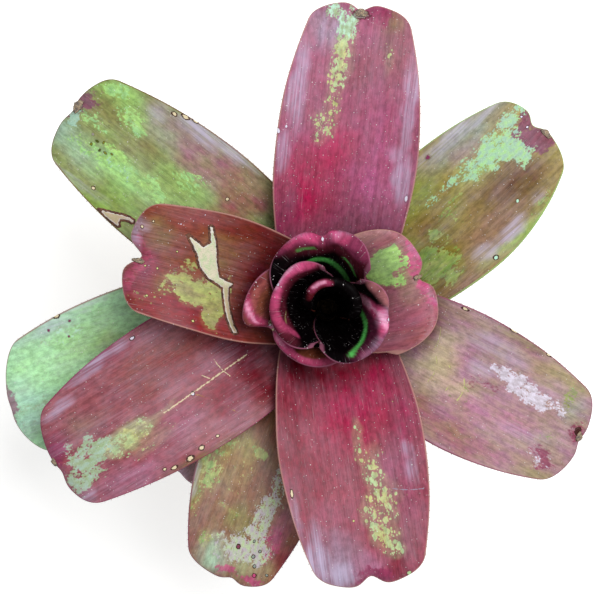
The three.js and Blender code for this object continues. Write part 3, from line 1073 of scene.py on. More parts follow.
def rows(words: str) -> Rows:
    """Reads rows: commas part them, spaces part their cells, and a cell is a hue's name or a number."""
    cells = [row.split() for row in words.split(",")]
    return tuple(tuple(Hue[cell] if cell[0].isalpha() else float(cell) for cell in row) for row in cells)


@dataclass(frozen=True)
class LeafPaint:
    """The colours and marks of one leaf's upper face.

    A row of speckle, pale, flush or painted sheen is a Touch, and one of ground has its hue in front. The painted
    sheen is a painted highlight, lilac where the blade would reflect the sky. A row of bands is a hue, a half width
    in millimetres, a strength and the u v of each place that it passes through. A row of wounds is a Wound, and one
    of lines is a Line.
    """

    base: Hue
    second: Hue = Hue.CUP_BLACK
    third: Hue = Hue.CUP_BLACK
    ground: Rows = ()
    bands: Rows = ()
    speckle: Rows = ()
    pale: Rows = ()
    flush: Rows = ()
    # patches of painted sheen: a painted highlight where the blade would reflect the sky
    bloom: Rows = ()
    wounds: Rows = ()
    lines: Rows = ()
    speckle_hue: Hue = Hue.BUTTER
    speckle_shade: Hue = Hue.MINT_LIME
    pale_hue: Hue = Hue.MINT_LIME
    pale_shade: Hue = Hue.SEAFOAM
    flush_hue: Hue = Hue.MAGENTA
    # the lilac of the painted sheen
    bloom_hue: Hue = Hue.LILAC
    margin_hue: Hue = Hue.WINE
    speckle_grain: float = 3.2
    pale_grain: float = 3.0
    dots: float = 0.2
    wash: float = 0.15
    clouded: float = 0.36
    streaked: float = 0.24
    scurf: float = 0.32
    # how much denser the white specks grow near the margin: partly scurf, partly a painted highlight along the edge
    fuzz: float = 0.25
    # how strong the patchy haze of painted sheen is all over the blade
    veil: float = 0.1
    vivid: float = 1.12
    gloss: float = 0.2
    roughness: float = 0.36
    seed: float = 0.0


@dataclass(frozen=True)
class LeafUnder(Finish):
    """A leaf's dull lower face, banded across with silver scurf."""

    name: str = "leaf_under"
    roughness: float = 0.55
    specular: float = 0.35
    base: Hue = Hue.UNDER_GREEN

    def dress(self, coat: Coat) -> None:
        """Streaks along, bands across and fine scales."""
        g, place = coat.graph, coat.read("place")
        tone, height, _ = g.use(lengthwise_streaks, place=place, pitch=1.4)
        x, y, _ = g.parts(place)
        banding = g.noise(g.join(x * 0.22, y * 0.03), 1.0, 3.0, 0.6)
        coat.lay(tone * 0.3, Hue.DARK_MOSS)
        coat.lay(g.step(banding, 0.42, 0.64) * 0.4, Hue.ASH)
        coat.lay(g.use(scattered_specks, place=place, spacing=1.3, size=0.35, share=0.8)[0] * 0.45, Hue.SCURF)
        coat.bump(height, 0.0004, 0.7)


@dataclass(frozen=True)
class LeafUpper(Finish):
    """A leaf's upper face: ground colours, broken islands, a painted sheen, scurf, wounds and scratches."""

    paint: LeafPaint = LeafPaint(Hue.SAGE)
    CLOUDS: ClassVar[tuple[tuple[float, float, float], ...]] = (
        (15.0, 1.6, 0.0), (7.5, 2.2, 3.0), (3.0, 1.6, 5.0), (19.0, 1.7, 9.0),
    )  # grain, stretch and seed of the clouds, the patches, the mottle and the haze of painted sheen

    def dress(self, coat: Coat) -> None:
        """Lays the ground and then each kind of mark over it."""
        g, paint, seed, place = coat.graph, self.paint, self.paint.seed, coat.read("place")
        speckle, pale, flush = g.parts(coat.read("marks", "Color"))
        tone, relief, nicks = g.use(lengthwise_streaks, place=place, pitch=1.1, seed=seed)
        clouds, patches, mottle, haze = (
            g.use(leaf_clouds, place=place, grain=grain, stretch=stretch, seed=seed + shift)[0]
            for grain, stretch, shift in self.CLOUDS
        )
        coat.colour = coat.read("ground", "Color")
        coat.lay(clouds * paint.clouded, paint.second)
        coat.lay(patches * paint.clouded, paint.third)
        coat.lay(g.step(speckle, 0.1, 0.6) * paint.wash, paint.speckle_shade)
        light = mottle * 0.36 + (0.54 - paint.streaked / 2.0) + g.noise(place, 0.9, 3.0, 0.7) * 0.56
        lit = g.scale(coat.colour, light + tone * paint.streaked)
        coat.colour = g.get("ShaderNodeHueSaturation", {"Saturation": paint.vivid, "Color": lit})
        tips = g.use(ragged_islands, place=place, amount=flush, grain=4.0, stretch=1.6, edge=0.2, seed=seed)[0]
        coat.lay(tips * 0.85, g.scale(paint.flush_hue, light))
        islands = g.use(
            ragged_islands, place=place, amount=speckle, grain=paint.speckle_grain, stretch=1.4, edge=0.08,
            dots=paint.dots, seed=seed + 1.0,
        )[0]
        coat.lay(islands * 0.97, g.scale(g.mix(patches, paint.speckle_hue, paint.speckle_shade), light))
        chalk = g.use(
            ragged_islands, place=place, amount=pale, grain=paint.pale_grain, stretch=1.3, edge=0.12, dots=0.25,
            seed=seed + 2.0,
        )[0]
        coat.lay(chalk * 0.9, g.scale(g.mix(mottle, paint.pale_hue, paint.pale_shade), light))
        # Painted sheen: a lilac painted highlight in listed patches and in a patchy haze, where the blade would reflect
        # the sky.
        bloom = g.math("MAXIMUM", coat.read("marks", "Alpha"), haze * paint.veil)
        coat.lay(bloom * g.step(tone, 0.0, 0.9, (0.35, 1.0)) * 0.82, paint.bloom_hue)
        # thin pale lengthwise lines: partly scratches, partly painted glints along the fine ridges
        coat.lay(nicks * paint.streaked, Hue.SCURF)
        scurf = self._dust(coat, place)
        height = self._scars(coat, place, relief * 0.6)
        coat.bump(height + scurf * 0.25, 0.0004, 0.75)
        coat.feed("Roughness", g.math("MAXIMUM", chalk, scurf) * 0.2 + tone * 0.08 + paint.roughness)

    def _dust(self, coat: Coat, place: Wire) -> Wire:
        """Tints the margin, then lays dark pits and white scurf, denser near the margin where it is partly scurf and
        partly a painted highlight along the edge, and gives where the scurf is.
        """
        g, paint, edge = coat.graph, self.paint, coat.graph.parts(place)[2]
        coat.lay(g.step(edge, 1.1, 0.3) * 0.7, paint.margin_hue)
        near = g.step(edge, 3.5, 0.6, (0.0, paint.fuzz)) + paint.scurf
        kinds = ((6.5, 0.4, 0.6), (5.5, 0.45, paint.scurf), (1.7, 0.32, near))
        pits, coarse, powder = (
            g.use(scattered_specks, place=place, spacing=spacing, size=size, share=share, seed=paint.seed + 4.0 + i)[0]
            for i, (spacing, size, share) in enumerate(kinds)
        )
        coat.lay(pits * 0.6, Hue.SCAB_RIM)
        scurf = g.math("MAXIMUM", coarse, powder)
        coat.lay(scurf * 0.66, Hue.SCURF)
        return scurf

    def _scars(self, coat: Coat, place: Wire, height: Wire) -> Wire:
        """Adds the wounds, which stand up, and the scratches, which are sunk, and gives the new height."""
        g = coat.graph
        for wound in (Wound(*row) for row in self.paint.wounds):
            at = (wound.along, wound.across, 0.0)
            core, ring = g.use(healed_scab, place=place, at=at, long=wound.long, wide=wound.wide)
            coat.lay(ring * wound.ring, Hue.SCAB_RIM)
            coat.lay(core, wound.core)
            height = height + core * 0.5
        for line in (Line(*row) for row in self.paint.lines):
            start, end = (line.along, line.across, 0.0), (line.to_along, line.to_across, 0.0)
            cut = g.use(thin_scratch, place=place, start=start, end=end, width=line.width, bow=line.bow)[0]
            coat.lay(cut * 0.85, line.hue)
            height = height - cut * 0.4
        return height


@dataclass
class Leaf:
    """One leaf: its form at a fine grain, with its paint."""

    form: LeafForm
    paint: LeafPaint
    under: Hue = Hue.UNDER_WINE
    slot: str = "leaf_red"
    row_pitch: float = 1.9
    curl_rows: int = 9
    columns: int = 52
    MARKS: ClassVar[set[str]] = {"ground", "bands", "speckle", "pale", "flush", "bloom", "wounds", "lines"}
    DRIFT_SEED: ClassVar[int] = 1_795_528_009
    DRIFTS: ClassVar[tuple[tuple[float, float], ...]] = ((5.0, 24.0), (2.5, 9.0))  # reach and grain
    DRIFT_STRETCH: ClassVar[float] = 1.4

    @cached_property
    def surface(self) -> LeafSurface:
        """The leaf's mid surface."""
        return LeafSurface(self.form)

    def like(
        self, name: str, shell: int, azimuth: float, length: float, half_width: float,
        rise: tuple[float, float, float, float], **own: object,
    ) -> "Leaf":
        """Makes another leaf of this kind.

        Args:
            name: its name.
            shell: how many shells it lies from the youngest.
            azimuth: where it points.
            length: its length.
            half_width: half its width.
            rise: its slope from base to end.
            own: other fields of its form, its paint and itself. Marks are rows in words.

        Returns:
            The leaf.
        """
        measures = {"name": name, "shell": shell, "azimuth": azimuth, "length": length, "half_width": half_width}
        own = {"seed": self.paint.seed + shell, "rise": rise, **measures, **own}
        own |= {mark: rows(own[mark]) for mark in self.MARKS & own.keys()}
        form, paint, leaf = (
            {item.name: own[item.name] for item in fields(part) if item.name in own}
            for part in (self.form, self.paint, self)
        )
        return replace(self, form=replace(self.form, **form), paint=replace(self.paint, **paint), **leaf)

    def _grid(self) -> tuple[np.ndarray, np.ndarray]:
        """The s and v of every point of the grid, base to end and margin to margin."""
        straight_rows = max(24, round(self.form.length / self.row_pitch))
        rows = straight_rows + self.curl_rows
        even = np.linspace(-1.0, 1.0, self.columns + 1)
        row = np.arange(rows + 1)[:, None]
        v = lerp(even, np.sin(even * math.pi / 2.0), row / rows)
        end = self.surface.end_at(v)
        straight = end - self.form.curl[0]
        curled = np.clip((row - straight_rows) / self.curl_rows, 0.0, 1.0)
        s = straight * np.minimum(row / straight_rows, 1.0) + self.form.curl[0] * curled
        return s, v

    def _fields(self, s: np.ndarray, across: np.ndarray) -> tuple[np.ndarray, np.ndarray]:
        """The ground colour, and the strengths of the speckle, pale and flush marks and of the painted sheen at each
        point.
        """
        ground = np.broadcast_to(np.array(self.paint.base.linear), (*s.shape, 4)).copy()
        exact = s, across
        s, across = self._drift(s, across)
        for hue, *patch in self.paint.ground:
            weight = Touch(*patch).weight(self.surface, s, across, 0.75)[..., None]
            ground = lerp(ground, np.array(hue.linear), weight)
        for hue, half, strength, *course in self.paint.bands:
            away = self._from_course(*exact, list(zip(course[::2], course[1::2], strict=True)))
            weight = strength * (1.0 - smoothstep(0.55 * half, 1.45 * half, away))
            ground = lerp(ground, np.array(hue.linear), weight[..., None])
        marks = []
        for patches in (self.paint.speckle, self.paint.pale, self.paint.flush, self.paint.bloom):
            total = np.zeros_like(s)
            for patch in patches:
                total = np.maximum(total, Touch(*patch).weight(self.surface, s, across, 0.6))
            marks.append(total)
        return ground, np.stack(marks, axis=-1)

    def _drift(self, s: np.ndarray, across: np.ndarray) -> tuple[np.ndarray, np.ndarray]:
        """Shifts each point a little, at random but smoothly, so that no patch keeps an even outline."""
        noise.seed_set(self.DRIFT_SEED)  # unseeded, the vector noise below starts from the clock
        shift = np.zeros((s.size, 3))
        for reach, grain in self.DRIFTS:
            spots = zip(s.ravel() / grain, across.ravel() / grain, strict=True)
            shift += reach * np.array([noise.noise_vector(Vector((x, y, self.paint.seed))) for x, y in spots])
        along, aside = shift[:, 0].reshape(s.shape), shift[:, 1].reshape(s.shape)
        return s + self.DRIFT_STRETCH * along, across + aside

    def _from_course(self, s: np.ndarray, across: np.ndarray, course: list[tuple[float, float]]) -> np.ndarray:
        """How far each point of the leaf lies from a line through some of its (u, v) places, in millimetres."""
        stops = [(u * self.form.length, self.surface.across_at(u * self.form.length, np.float64(v))) for u, v in course]
        nearest = np.full(s.shape, np.inf)
        for (s0, c0), (s1, c1) in zip(stops[:-1], stops[1:], strict=True):
            square = (s1 - s0) ** 2 + (c1 - c0) ** 2
            share = np.clip(((s - s0) * (s1 - s0) + (across - c0) * (c1 - c0)) / square, 0.0, 1.0)
            nearest = np.minimum(nearest, np.hypot(s - s0 - share * (s1 - s0), across - c0 - share * (c1 - c0)))
        return nearest

    def build(self, under: bpy.types.Material) -> bpy.types.Object:
        """Builds the leaf as a closed solid with a rounded edge, and dresses it.

        Args:
            under: the material of its lower face.

        Returns:
            The piece.
        """
        s, v = self._grid()
        across = self.surface.across_at(s, v)
        middle = self.surface.at(s, v)
        along_step = np.gradient(middle, axis=0)
        across_step = np.gradient(middle, axis=1)
        normal = unit(np.cross(along_step, across_step))
        middle = middle + normal * self.surface.relief_at(s, across)[..., None]
        half = (self.surface.thickness_at(s, v) / 2.0)[..., None]
        rows, columns = s.shape
        index = np.arange(rows * columns).reshape(rows, columns)
        loop = np.concatenate([index[:-1, 0], index[-1, :-1], index[:0:-1, -1], index[0, :0:-1]])
        inner = np.concatenate([index[:-1, 1], index[-2, :-1], index[:0:-1, -2], index[1, :0:-1]])
        flat = middle.reshape(-1, 3)
        outward = unit(flat[loop] - flat[inner])
        rim = flat[loop] + outward * half.reshape(-1, 1)[loop]
        points = np.concatenate([(middle + normal * half).reshape(-1, 3), (middle - normal * half).reshape(-1, 3), rim])
        a, b = index[:-1, :-1].ravel(), index[1:, :-1].ravel()
        c, d = index[1:, 1:].ravel(), index[:-1, 1:].ravel()
        lower = rows * columns
        top = np.stack([a, b, c, d], axis=-1)
        bottom = np.stack([d, c, b, a], axis=-1) + lower
        ring = np.arange(len(loop)) + 2 * lower
        after, ring_after = np.roll(loop, -1), np.roll(ring, -1)
        upper_rim = np.stack([loop, ring, ring_after, after], axis=-1)
        lower_rim = np.stack([ring, loop + lower, after + lower, ring_after], axis=-1)
        faces = np.concatenate([top, upper_rim, lower_rim, bottom])
        which = np.zeros(len(faces))
        which[len(top) + 2 * len(loop) :] = 1
        skin = LeafUpper(f"{self.form.name}_skin", self.paint.roughness, self.paint.gloss, paint=self.paint)
        corners = [tuple(f) for f in faces.tolist()]
        piece = make_piece(f"{self.form.name}_blade", points, corners, skin.material(), under, face_materials=which)
        edge = np.minimum((1.0 - np.abs(v)) * self.surface.width_at(s), self.surface.end_at(v) - s)
        ground, marks = self._fields(s, across)
        for name, values in {"place": np.stack([s, across, edge], axis=-1), "ground": ground, "marks": marks}.items():
            flat = values.reshape(lower, -1)
            kind = "FLOAT_VECTOR" if name == "place" else "FLOAT_COLOR"
            give_numbers(piece.data, name, kind, np.concatenate([flat, flat, flat[loop]]))
        self._unwrap(piece.data, s, v, loop)
        return settle(piece, self.slot, self.form.name)

    def _unwrap(self, mesh: bpy.types.Mesh, s: np.ndarray, v: np.ndarray, loop: np.ndarray) -> None:
        """Lays the upper face on the left half of the UV map and the lower face on the right."""
        uv = np.stack([(v + 1.0) / 4.0, s / self.form.length], axis=-1).reshape(-1, 2)
        lower = uv + np.array([0.5, 0.0])
        at_point = np.concatenate([uv, lower, uv[loop]])
        corners = np.empty(len(mesh.loops), np.int32)
        mesh.loops.foreach_get("vertex_index", corners)
        layer = mesh.uv_layers.new(name="leaf")
        layer.data.foreach_set("uv", at_point[corners].astype(np.float32).ravel())


# ---- the rosette ----
FLAT = LeafForm("model", 0, 0.0, 1.0, 1.0, (0.0, 0.0, 0.0, 0.0))
ROLLED = replace(FLAT, rolled=True, tip_round=1.0, tip_width=0.8, wave=0.6)
# The heart and cup leaves have a near-black ground, painted shade deep in the cup; their cup maroon and deep wine bands
# below the rims are partly their own red and partly painted shade.
HEART = Leaf(
    replace(ROLLED, tip_round=0.9, tip_width=0.5, wave=0.0, notch=1.0, curl=(4.0, 20.0)),
    LeafPaint(Hue.CUP_BLACK, roughness=0.6, gloss=0.03, veil=0.0, scurf=0.06, margin_hue=Hue.CUP_BLACK),
    slot="leaf_cup",
)
CUP = Leaf(
    ROLLED,
    LeafPaint(
        Hue.CUP_BLACK, speckle_hue=Hue.MOSS, speckle_shade=Hue.DARK_MOSS, margin_hue=Hue.ROSE, fuzz=1.0, roughness=0.5,
        gloss=0.04, clouded=0.06, veil=0.0, vivid=1.0, seed=29.0,
    ),
    slot="leaf_cup", row_pitch=1.6,
)
RED = Leaf(FLAT, LeafPaint(Hue.SAGE))
GREEN = replace(RED, under=Hue.UNDER_GREEN, slot="leaf_green")


def plant_leaves() -> Iterator[Leaf]:
    """Every leaf with its form and colours, youngest first."""
    h = Hue
    yield HEART.like("heart_leaf_inner", 0, 250, 38, 9, (89, 89, 88, 87), columns=32)
    yield HEART.like("heart_leaf_outer", 1, 40, 47, 12, (89, 89, 88, 87), columns=36, seed=0.0)
    # On the cup rims the hot pink bands are partly the rims' own pink and partly painted highlight, and the pale pink
    # bands are painted highlights; one of them lights a shaded spot in the middle of the right cup leaf.
    yield CUP.like(
        "cup_leaf_inner", 2, 76, 103, 30, (88, 87, 86, 82), tip_round=1.1, notch=2, curl=(8, 170), wave=0.3,
        margin_hue=h.CUP_BLACK, fuzz=0.2,
        bands="MAROON 2.6 .9 .87 .7 .92 .54 .94 .36 .93 .2, WINE_ROSE 1.8 .95 .92 .6 .945 .45 .95 .3 .93 .18, "
        "PINK .9 .7 .935 .54 .95 .4 .952 .28",
    )
    yield CUP.like(
        "cup_leaf_right", 3, -31, 116, 34, (87, 82, 75, 62), notch=4, notch_width=0.15, notch_at=0.5, curl=(9, 160),
        bands="DEEP_WINE 8 .9 .5 .56 .68 .44 .85 .3 .93 .05 .94 -.2 .93 -.45, "
        "CRIMSON 4.4 1 .56 .64 .68 .56 .79 .51 .89 .42 .955 .3 .985 .12, "
        "HOT_PINK 2.4 .9 .66 .59 .79 .52 .89 .43 .95 .31 .98 .16, PINK 3.2 .9 .56 .64 .64 .6 .7 .56 .77 .52, "
        "ROSEWOOD 4 .9 .84 1 .9 .88 .96 .66, PINK 1.2 .7 .76 .53 .86 .46 .93 .36 .97 .22, "
        "WINE 3.2 .85 .99 .05 .99 -.15 .98 -.35 .96 -.5, "
        "CUP_GREEN 2 1 .4 .52 .505 .41 .6 .31 .68 .23 .77 .09 .82 -.11 .86 -.3 .88 -.48 .9 -.62",
        bloom=".93 .4 7 4 .4, .98 -.2 4 10 .3",
        wounds="111 11 1.6 1.2 PALE_LILAC .4",
    )
    yield CUP.like(
        "cup_leaf_left", 4, 172, 118, 35, (87, 82, 76, 65), notch_at=-0.35, curl=(7.5, 150),
        bands="CUP_MAROON 9 .9 .86 -.9 .92 -.6 .94 -.3 .94 0 .92 .3 .88 .6, "
        "CRIMSON 4.4 1 .86 -.93 .92 -.79 .95 -.62 .965 -.4 .97 -.2 .975 .02, "
        "HOT_PINK 2.6 .85 .9 -.83 .945 -.65 .96 -.42 .968 -.2 .975 0, PINK 1.4 .6 .94 -.68 .955 -.48 .965 -.26, "
        "CRIMSON 2.8 .85 .975 .1 .97 .25 .93 .5 .82 .7, KHAKI .9 .6 .86 .24 .88 .34 .88 .44",
        bloom=".97 -.25 3 6 .45, .94 -.7 3 4 .5",
        wounds="113 -9 1.6 1.3 PALE_LILAC .4",
    )
    yield CUP.like(
        "cup_leaf_top", 5, 106, 129, 36, (86, 79, 72, 56), tip_round=1.1, notch=10, notch_width=0.15, notch_at=-0.2,
        curl=(11, 155),
        bands="CUP_MAROON 10 .9 .97 .34 .95 .16 .88 -.12 .92 -.45 .84 -.75 .68 -.95, "
        "WINE 4.6 .85 .965 .63 .975 .41 .975 .26 .93 -.05 .9 -.2 .93 -.36 .925 -.57 .88 -.75 .82 -.88, "
        "CRIMSON 3.4 1 .965 .46 .975 .33 .975 .18 .945 -.02 .92 -.12, "
        "CRIMSON 3.4 1 .915 -.23 .94 -.36 .93 -.5 .91 -.6, HOT_PINK 1.7 .8 .978 .33 .97 .14 .94 -.04, "
        "HOT_PINK 1.7 .8 .93 -.26 .95 -.38 .935 -.5, CUP_GREEN 1.4 .45 .91 .34 .9 .2 .87 0, "
        "CUP_GREEN 2.6 1 .75 .2 .75 .1 .74 0 .713 -.18 .66 -.31 .6 -.41 .53 -.49 .46 -.57, "
        "CUP_GREEN 1 .7 .76 -.55 .7 -.66 .61 -.74",
        bloom=".97 .25 3 7 .25, .94 -.45 3 7 .25",
        wounds="115 -6 2.4 1.4 PALE_LILAC .4",
    )
    yield CUP.like(
        "cup_leaf_lower_left", 6, 205, 125, 49, (85, 77, 70, 47), tip_round=0.8, tip_width=0.95, notch=9,
        notch_width=0.12, notch_at=-0.15, short_lobe=29, curl=(7, 110), gloss=0.08,
        bands="BRICK 16 .95 .7 -.8 .82 -.72 .88 -.55 .86 -.35 .8 -.22, UMBER 5 .6 .76 -.66 .85 -.56 .86 -.44, "
        "MAROON 1.8 .7 .88 -.82 .925 -.72 .945 -.62, CRIMSON 2.8 .95 .955 -.57 .95 -.45 .93 -.34 .88 -.25 .82 -.18, "
        "PINK 1.2 .7 .955 -.5 .945 -.4 .92 -.3, RUSSET 9 .9 .6 .1 .64 .4 .6 .75, "
        "HOT_PINK 3 .95 .77 -.13 .75 0 .738 .14 .73 .28, PINK 1 .6 .77 -.1 .75 .03 .74 .16, "
        "CRIMSON 2 .9 .733 .3 .725 .46 .705 .6 .66 .76, KHAKI 1.7 .85 .69 -.06 .66 .06 .64 .2 .63 .32",
        bloom=".76 -.12 3 3 .5",
        wounds="97 -8 3 1.6 PALE_LILAC .5, 92 -3 1.8 1.2 SCAB_CREAM .5",
    )
    # On the outer leaves the shaded oxblood patches near the bases are partly the leaves' own red and partly painted
    # shade, where they run under the cup and the leaves above.
    yield RED.like(
        "short_leaf_right", 7, 16, 103, 48, (84, 78, 59, -16), swing=8, tip_width=0.8, notch=8, notch_width=0.15,
        flatten=(65, 105), curl=(8, 60), wave=1.0, row_pitch=1.6, base=h.DUSTY_ROSE, second=h.TAUPE, third=h.ROSE,
        speckle_hue=h.LIME_GREEN, speckle_shade=h.SPRING_GREEN, flush_hue=h.HOT_PINK, margin_hue=h.RIM_TAN, fuzz=0.6,
        vivid=1.0,
        ground="GARNET .54 -.3 13 30 .75, MAROON .6 .75 10 10 .8, BRICK .86 .78 14 10 .7, ROSE .8 -.2 12 12 .6, "
        "ROSE_RED .74 -.6 14 12 .5, ROSE_RED .89 -.3 9 10 .6, KHAKI .83 -.02 8 13 .6, RIM_TAN .82 .97 12 7 .7, "
        "BRICK .86 -.85 14 7 .6",
        speckle=".73 .4 10 9 1.4, .8 .5 9 6 1.25, .84 .3 8 4 .75, .67 .25 8 8 1.3, .75 .12 7 5 .9",
        flush=".965 .45 6 7 1.1, .9 .18 5 5 .8, .93 .3 5 5 .9, .95 -.1 5 8 1, .95 -.42 4 7 .8",
        bloom=".97 -.4 3 8 .25, .96 .45 3 7 .3",
        wounds="93 1.5 2.6 1.6 ASH .6",
    )
    yield RED.like(
        "short_leaf_left", 8, 162.5, 186, 41, (82, 62, 34, 4), swing=6, tip_width=0.8, notch=11, notch_width=0.2,
        flatten=(60, 130), curl=(8, 60), base=h.RUSSET, second=h.UMBER, third=h.GARNET, speckle_hue=h.PATCH_OLIVE,
        speckle_shade=h.KHAKI, flush_hue=h.ROSE_RED, margin_hue=h.RIM_TAN, speckle_grain=3.8, vivid=1.05,
        ground="BRICK .8 -.85 30 6 .8, OLIVE_BROWN .66 -.3 14 12 .7, OXBLOOD .47 -.1 18 36 1, "
        "OXBLOOD .58 -.85 22 7 .7, GARNET .8 .74 30 7 .85, CARMINE .74 1.05 40 14 1.1, CARMINE .9 .9 16 11 .95, "
        "WINE .93 .15 9 16 .85, OLIVE_BROWN .9 -.5 9 9 .7, UMBER .6 .15 9 10 .7",
        speckle=".72 .33 17 10 1.25, .64 .7 7 10 1.4, .61 .42 5 14 1.2, .78 .25 13 9 .85, .83 .48 7 6 .6, "
        ".9 .72 10 5 .35, .77 -.09 8 5 .4",
        flush=".95 .14 7 10 1, .98 .58 5 8 .9, .98 -.22 5 6 .9",
        bloom=".985 -.33 4 7 .7, .97 -.6 6 4 .5",
        wounds="153 -8 .9 .9 BUTTER, 163 5.5 .9 .9 BUTTER, 171 5.6 1 .8 BUTTER, 166 24 1.1 .9 BUTTER, "
        "133 34 1.2 1.2 BUTTER, 178 -18.5 1 1.2, 172 -23.5 .9 1",
        lines="161 -20 155 -26 .5 6 PALE_LILAC, 148 -30 142 -36 .5 -6 PALE_LILAC",
    )
    yield RED.like(
        "leaf_bottom", 9, 278.5, 213, 49.5, (81, 36, 12, -1), tip_width=0.64, notch=7, curl=(10, 40), base=h.DUSTY_ROSE,
        second=h.GARNET, third=h.BROWN_MAUVE, margin_hue=h.RIM_TAN, speckle_grain=4.6, dots=0.75, wash=0.14,
        ground="CARMINE .3 0 14 26 .9, OXBLOOD .3 -.65 14 12 .9, RASPBERRY .43 .1 24 20 .9, ROSE_RED .36 .62 14 12 .8, "
        "GARNET .5 -.8 40 9 .95, GARNET .66 -.66 18 9 .7, MAUVE .68 .62 28 11 .75, MAUVE .76 -.4 10 12 .35, "
        "GREY_LILAC .92 -.5 16 13 .85, ORCHID .94 -.05 8 9 .7, GARNET .94 .5 8 8 .85, BROWN_MAUVE .87 .72 14 8 .7, "
        "CRIMSON .5 .75 16 9 .6",
        speckle=".545 .11 14 4 .7, .6 .24 8 8 .8, .66 .25 12 9 .85, .74 .25 12 9 .9, .8 .28 10 10 .98, "
        ".86 .34 8 10 1.05, .895 .44 6 9 .95, .72 .5 10 5 .4",
        flush=".965 .05 7 14 1.15, .97 .6 4 6 .4",
        bloom=".88 -.82 20 6 .95, .95 -.6 9 8 .8, .78 -.95 20 3 .4, .665 .78 9 4 .6, .6 .72 6 4 .5",
        wounds="207 25 2.4 2 MINT_LIME .4, 145 -44 3.2 1.2, 168 -6 1.1 1.1 BUTTER .3",
        lines="151 23 154 43 .5 3 GREY_LILAC, 144 -11 151 -7 .5 5 PALE_LILAC, 88 28 94 33 .5 5 BUTTER",
    )
    yield RED.like(
        "leaf_top", 10, 84.2, 228, 48, (80, 32, 9, -2), tip_width=0.6, notch=5, curl=(10, 40), base=h.ROSE,
        second=h.BROWN_MAUVE, third=h.DUSTY_ROSE, margin_hue=h.RIM_TAN, speckle_grain=3.4, pale_grain=2.8, dots=0.7,
        wash=0.1, scurf=0.5,
        ground="ORCHID_ROSE .5 -.42 32 15 .95, RASPBERRY .44 .5 28 22 .95, RASPBERRY .58 .1 16 12 .7, "
        "BROWN_MAUVE .87 -.6 24 11 .9, BROWN_MAUVE .79 -.1 14 8 .7, GREY_LILAC .92 .55 14 12 .8, MAUVE .7 .5 18 9 .6, "
        "WINE .36 .9 20 10 .8, OLIVE_BROWN .94 -.62 8 6 .75",
        speckle=".86 .22 12 8 .96, .79 .22 14 7 .86, .71 .28 12 7 .76, .64 .34 10 8 .8, .59 .4 6 5 .55, "
        ".83 -.5 12 4 .5",
        pale=".92 .25 9 8 1, .965 .5 7 6 .95, .97 .3 4 6 .6",
        flush=".955 -.25 8 12 1.1, .93 0 4 5 .5",
        bloom=".72 -.82 34 5 .6, .5 -.85 16 6 .75, .74 .8 28 6 .65, .58 -.7 8 6 .5, .56 .88 14 5 .6",
        wounds="139 47 2.4 1.6 PALE_LILAC .3, 142 42 1.6 1.2 PALE_LILAC .2, 103 -44 2.6 1.4 PALE_LILAC .3, "
        "219 0 3.4 6.5 ASH .7",
    )
    yield RED.like(
        "leaf_lower_left", 11, 211.3, 232, 49, (79, 28, 7, -4), lopside=-0.16, tip_width=0.66, notch=2, base=h.ROSEWOOD,
        second=h.BROWN_MAUVE, third=h.GARNET, pale_shade=h.PALE_MINT, speckle_grain=3.0, pale_grain=3.4, dots=0.3,
        wash=0.35, veil=0.2,
        ground="RUSSET .6 -.5 30 15 .9, GARNET .47 .3 14 16 .8, OXBLOOD .36 .1 14 34 .95, GARNET .54 -.3 16 14 .5, "
        "MAUVE .82 .72 24 9 .75, TAUPE .88 -.42 16 9 .75, GARNET .69 -.93 26 6 .9, OLIVE_BROWN .6 1 30 4 .85, "
        "KHAKI .77 .05 16 7 .6, ROSE .62 .3 18 9 .6, WINE_ROSE .96 -.4 9 10 .7",
        speckle=".72 .05 10 6 .7, .775 .07 12 8 .85, .82 .1 8 8 .8, .65 .02 12 3 .35, .72 .3 20 8 .3",
        pale=".86 0 9 10 .95, .905 .15 10 11 1.05, .955 .33 10 9 1, .99 .42 8 6 .8, .92 .5 8 6 .6, .93 -.2 6 6 .5",
        flush=".97 -.28 8 8 1.15, .995 -.08 5 6 .9",
        bloom=".77 -.98 22 6 .75, .9 -.85 14 4 .6, .66 -.95 8 5 .6, .97 .75 8 8 .6",
        wounds="142 35 2.4 1.8, 152 37 3.2 2, 164 36.5 2.6 1.4, 170 34 1.6 1.2, 128 1 1.6 1.6 PALE_LILAC, "
        "129 34 1.4 1.2, 144 -52 2.4 1.2 PALE_LILAC",
        lines="151 2 79 -2.4 .95, 103 -11 99 4 .65 3, 116 -6 112 -1, 126 3 109 28 .8 -6 PAPER_TAN",
    )
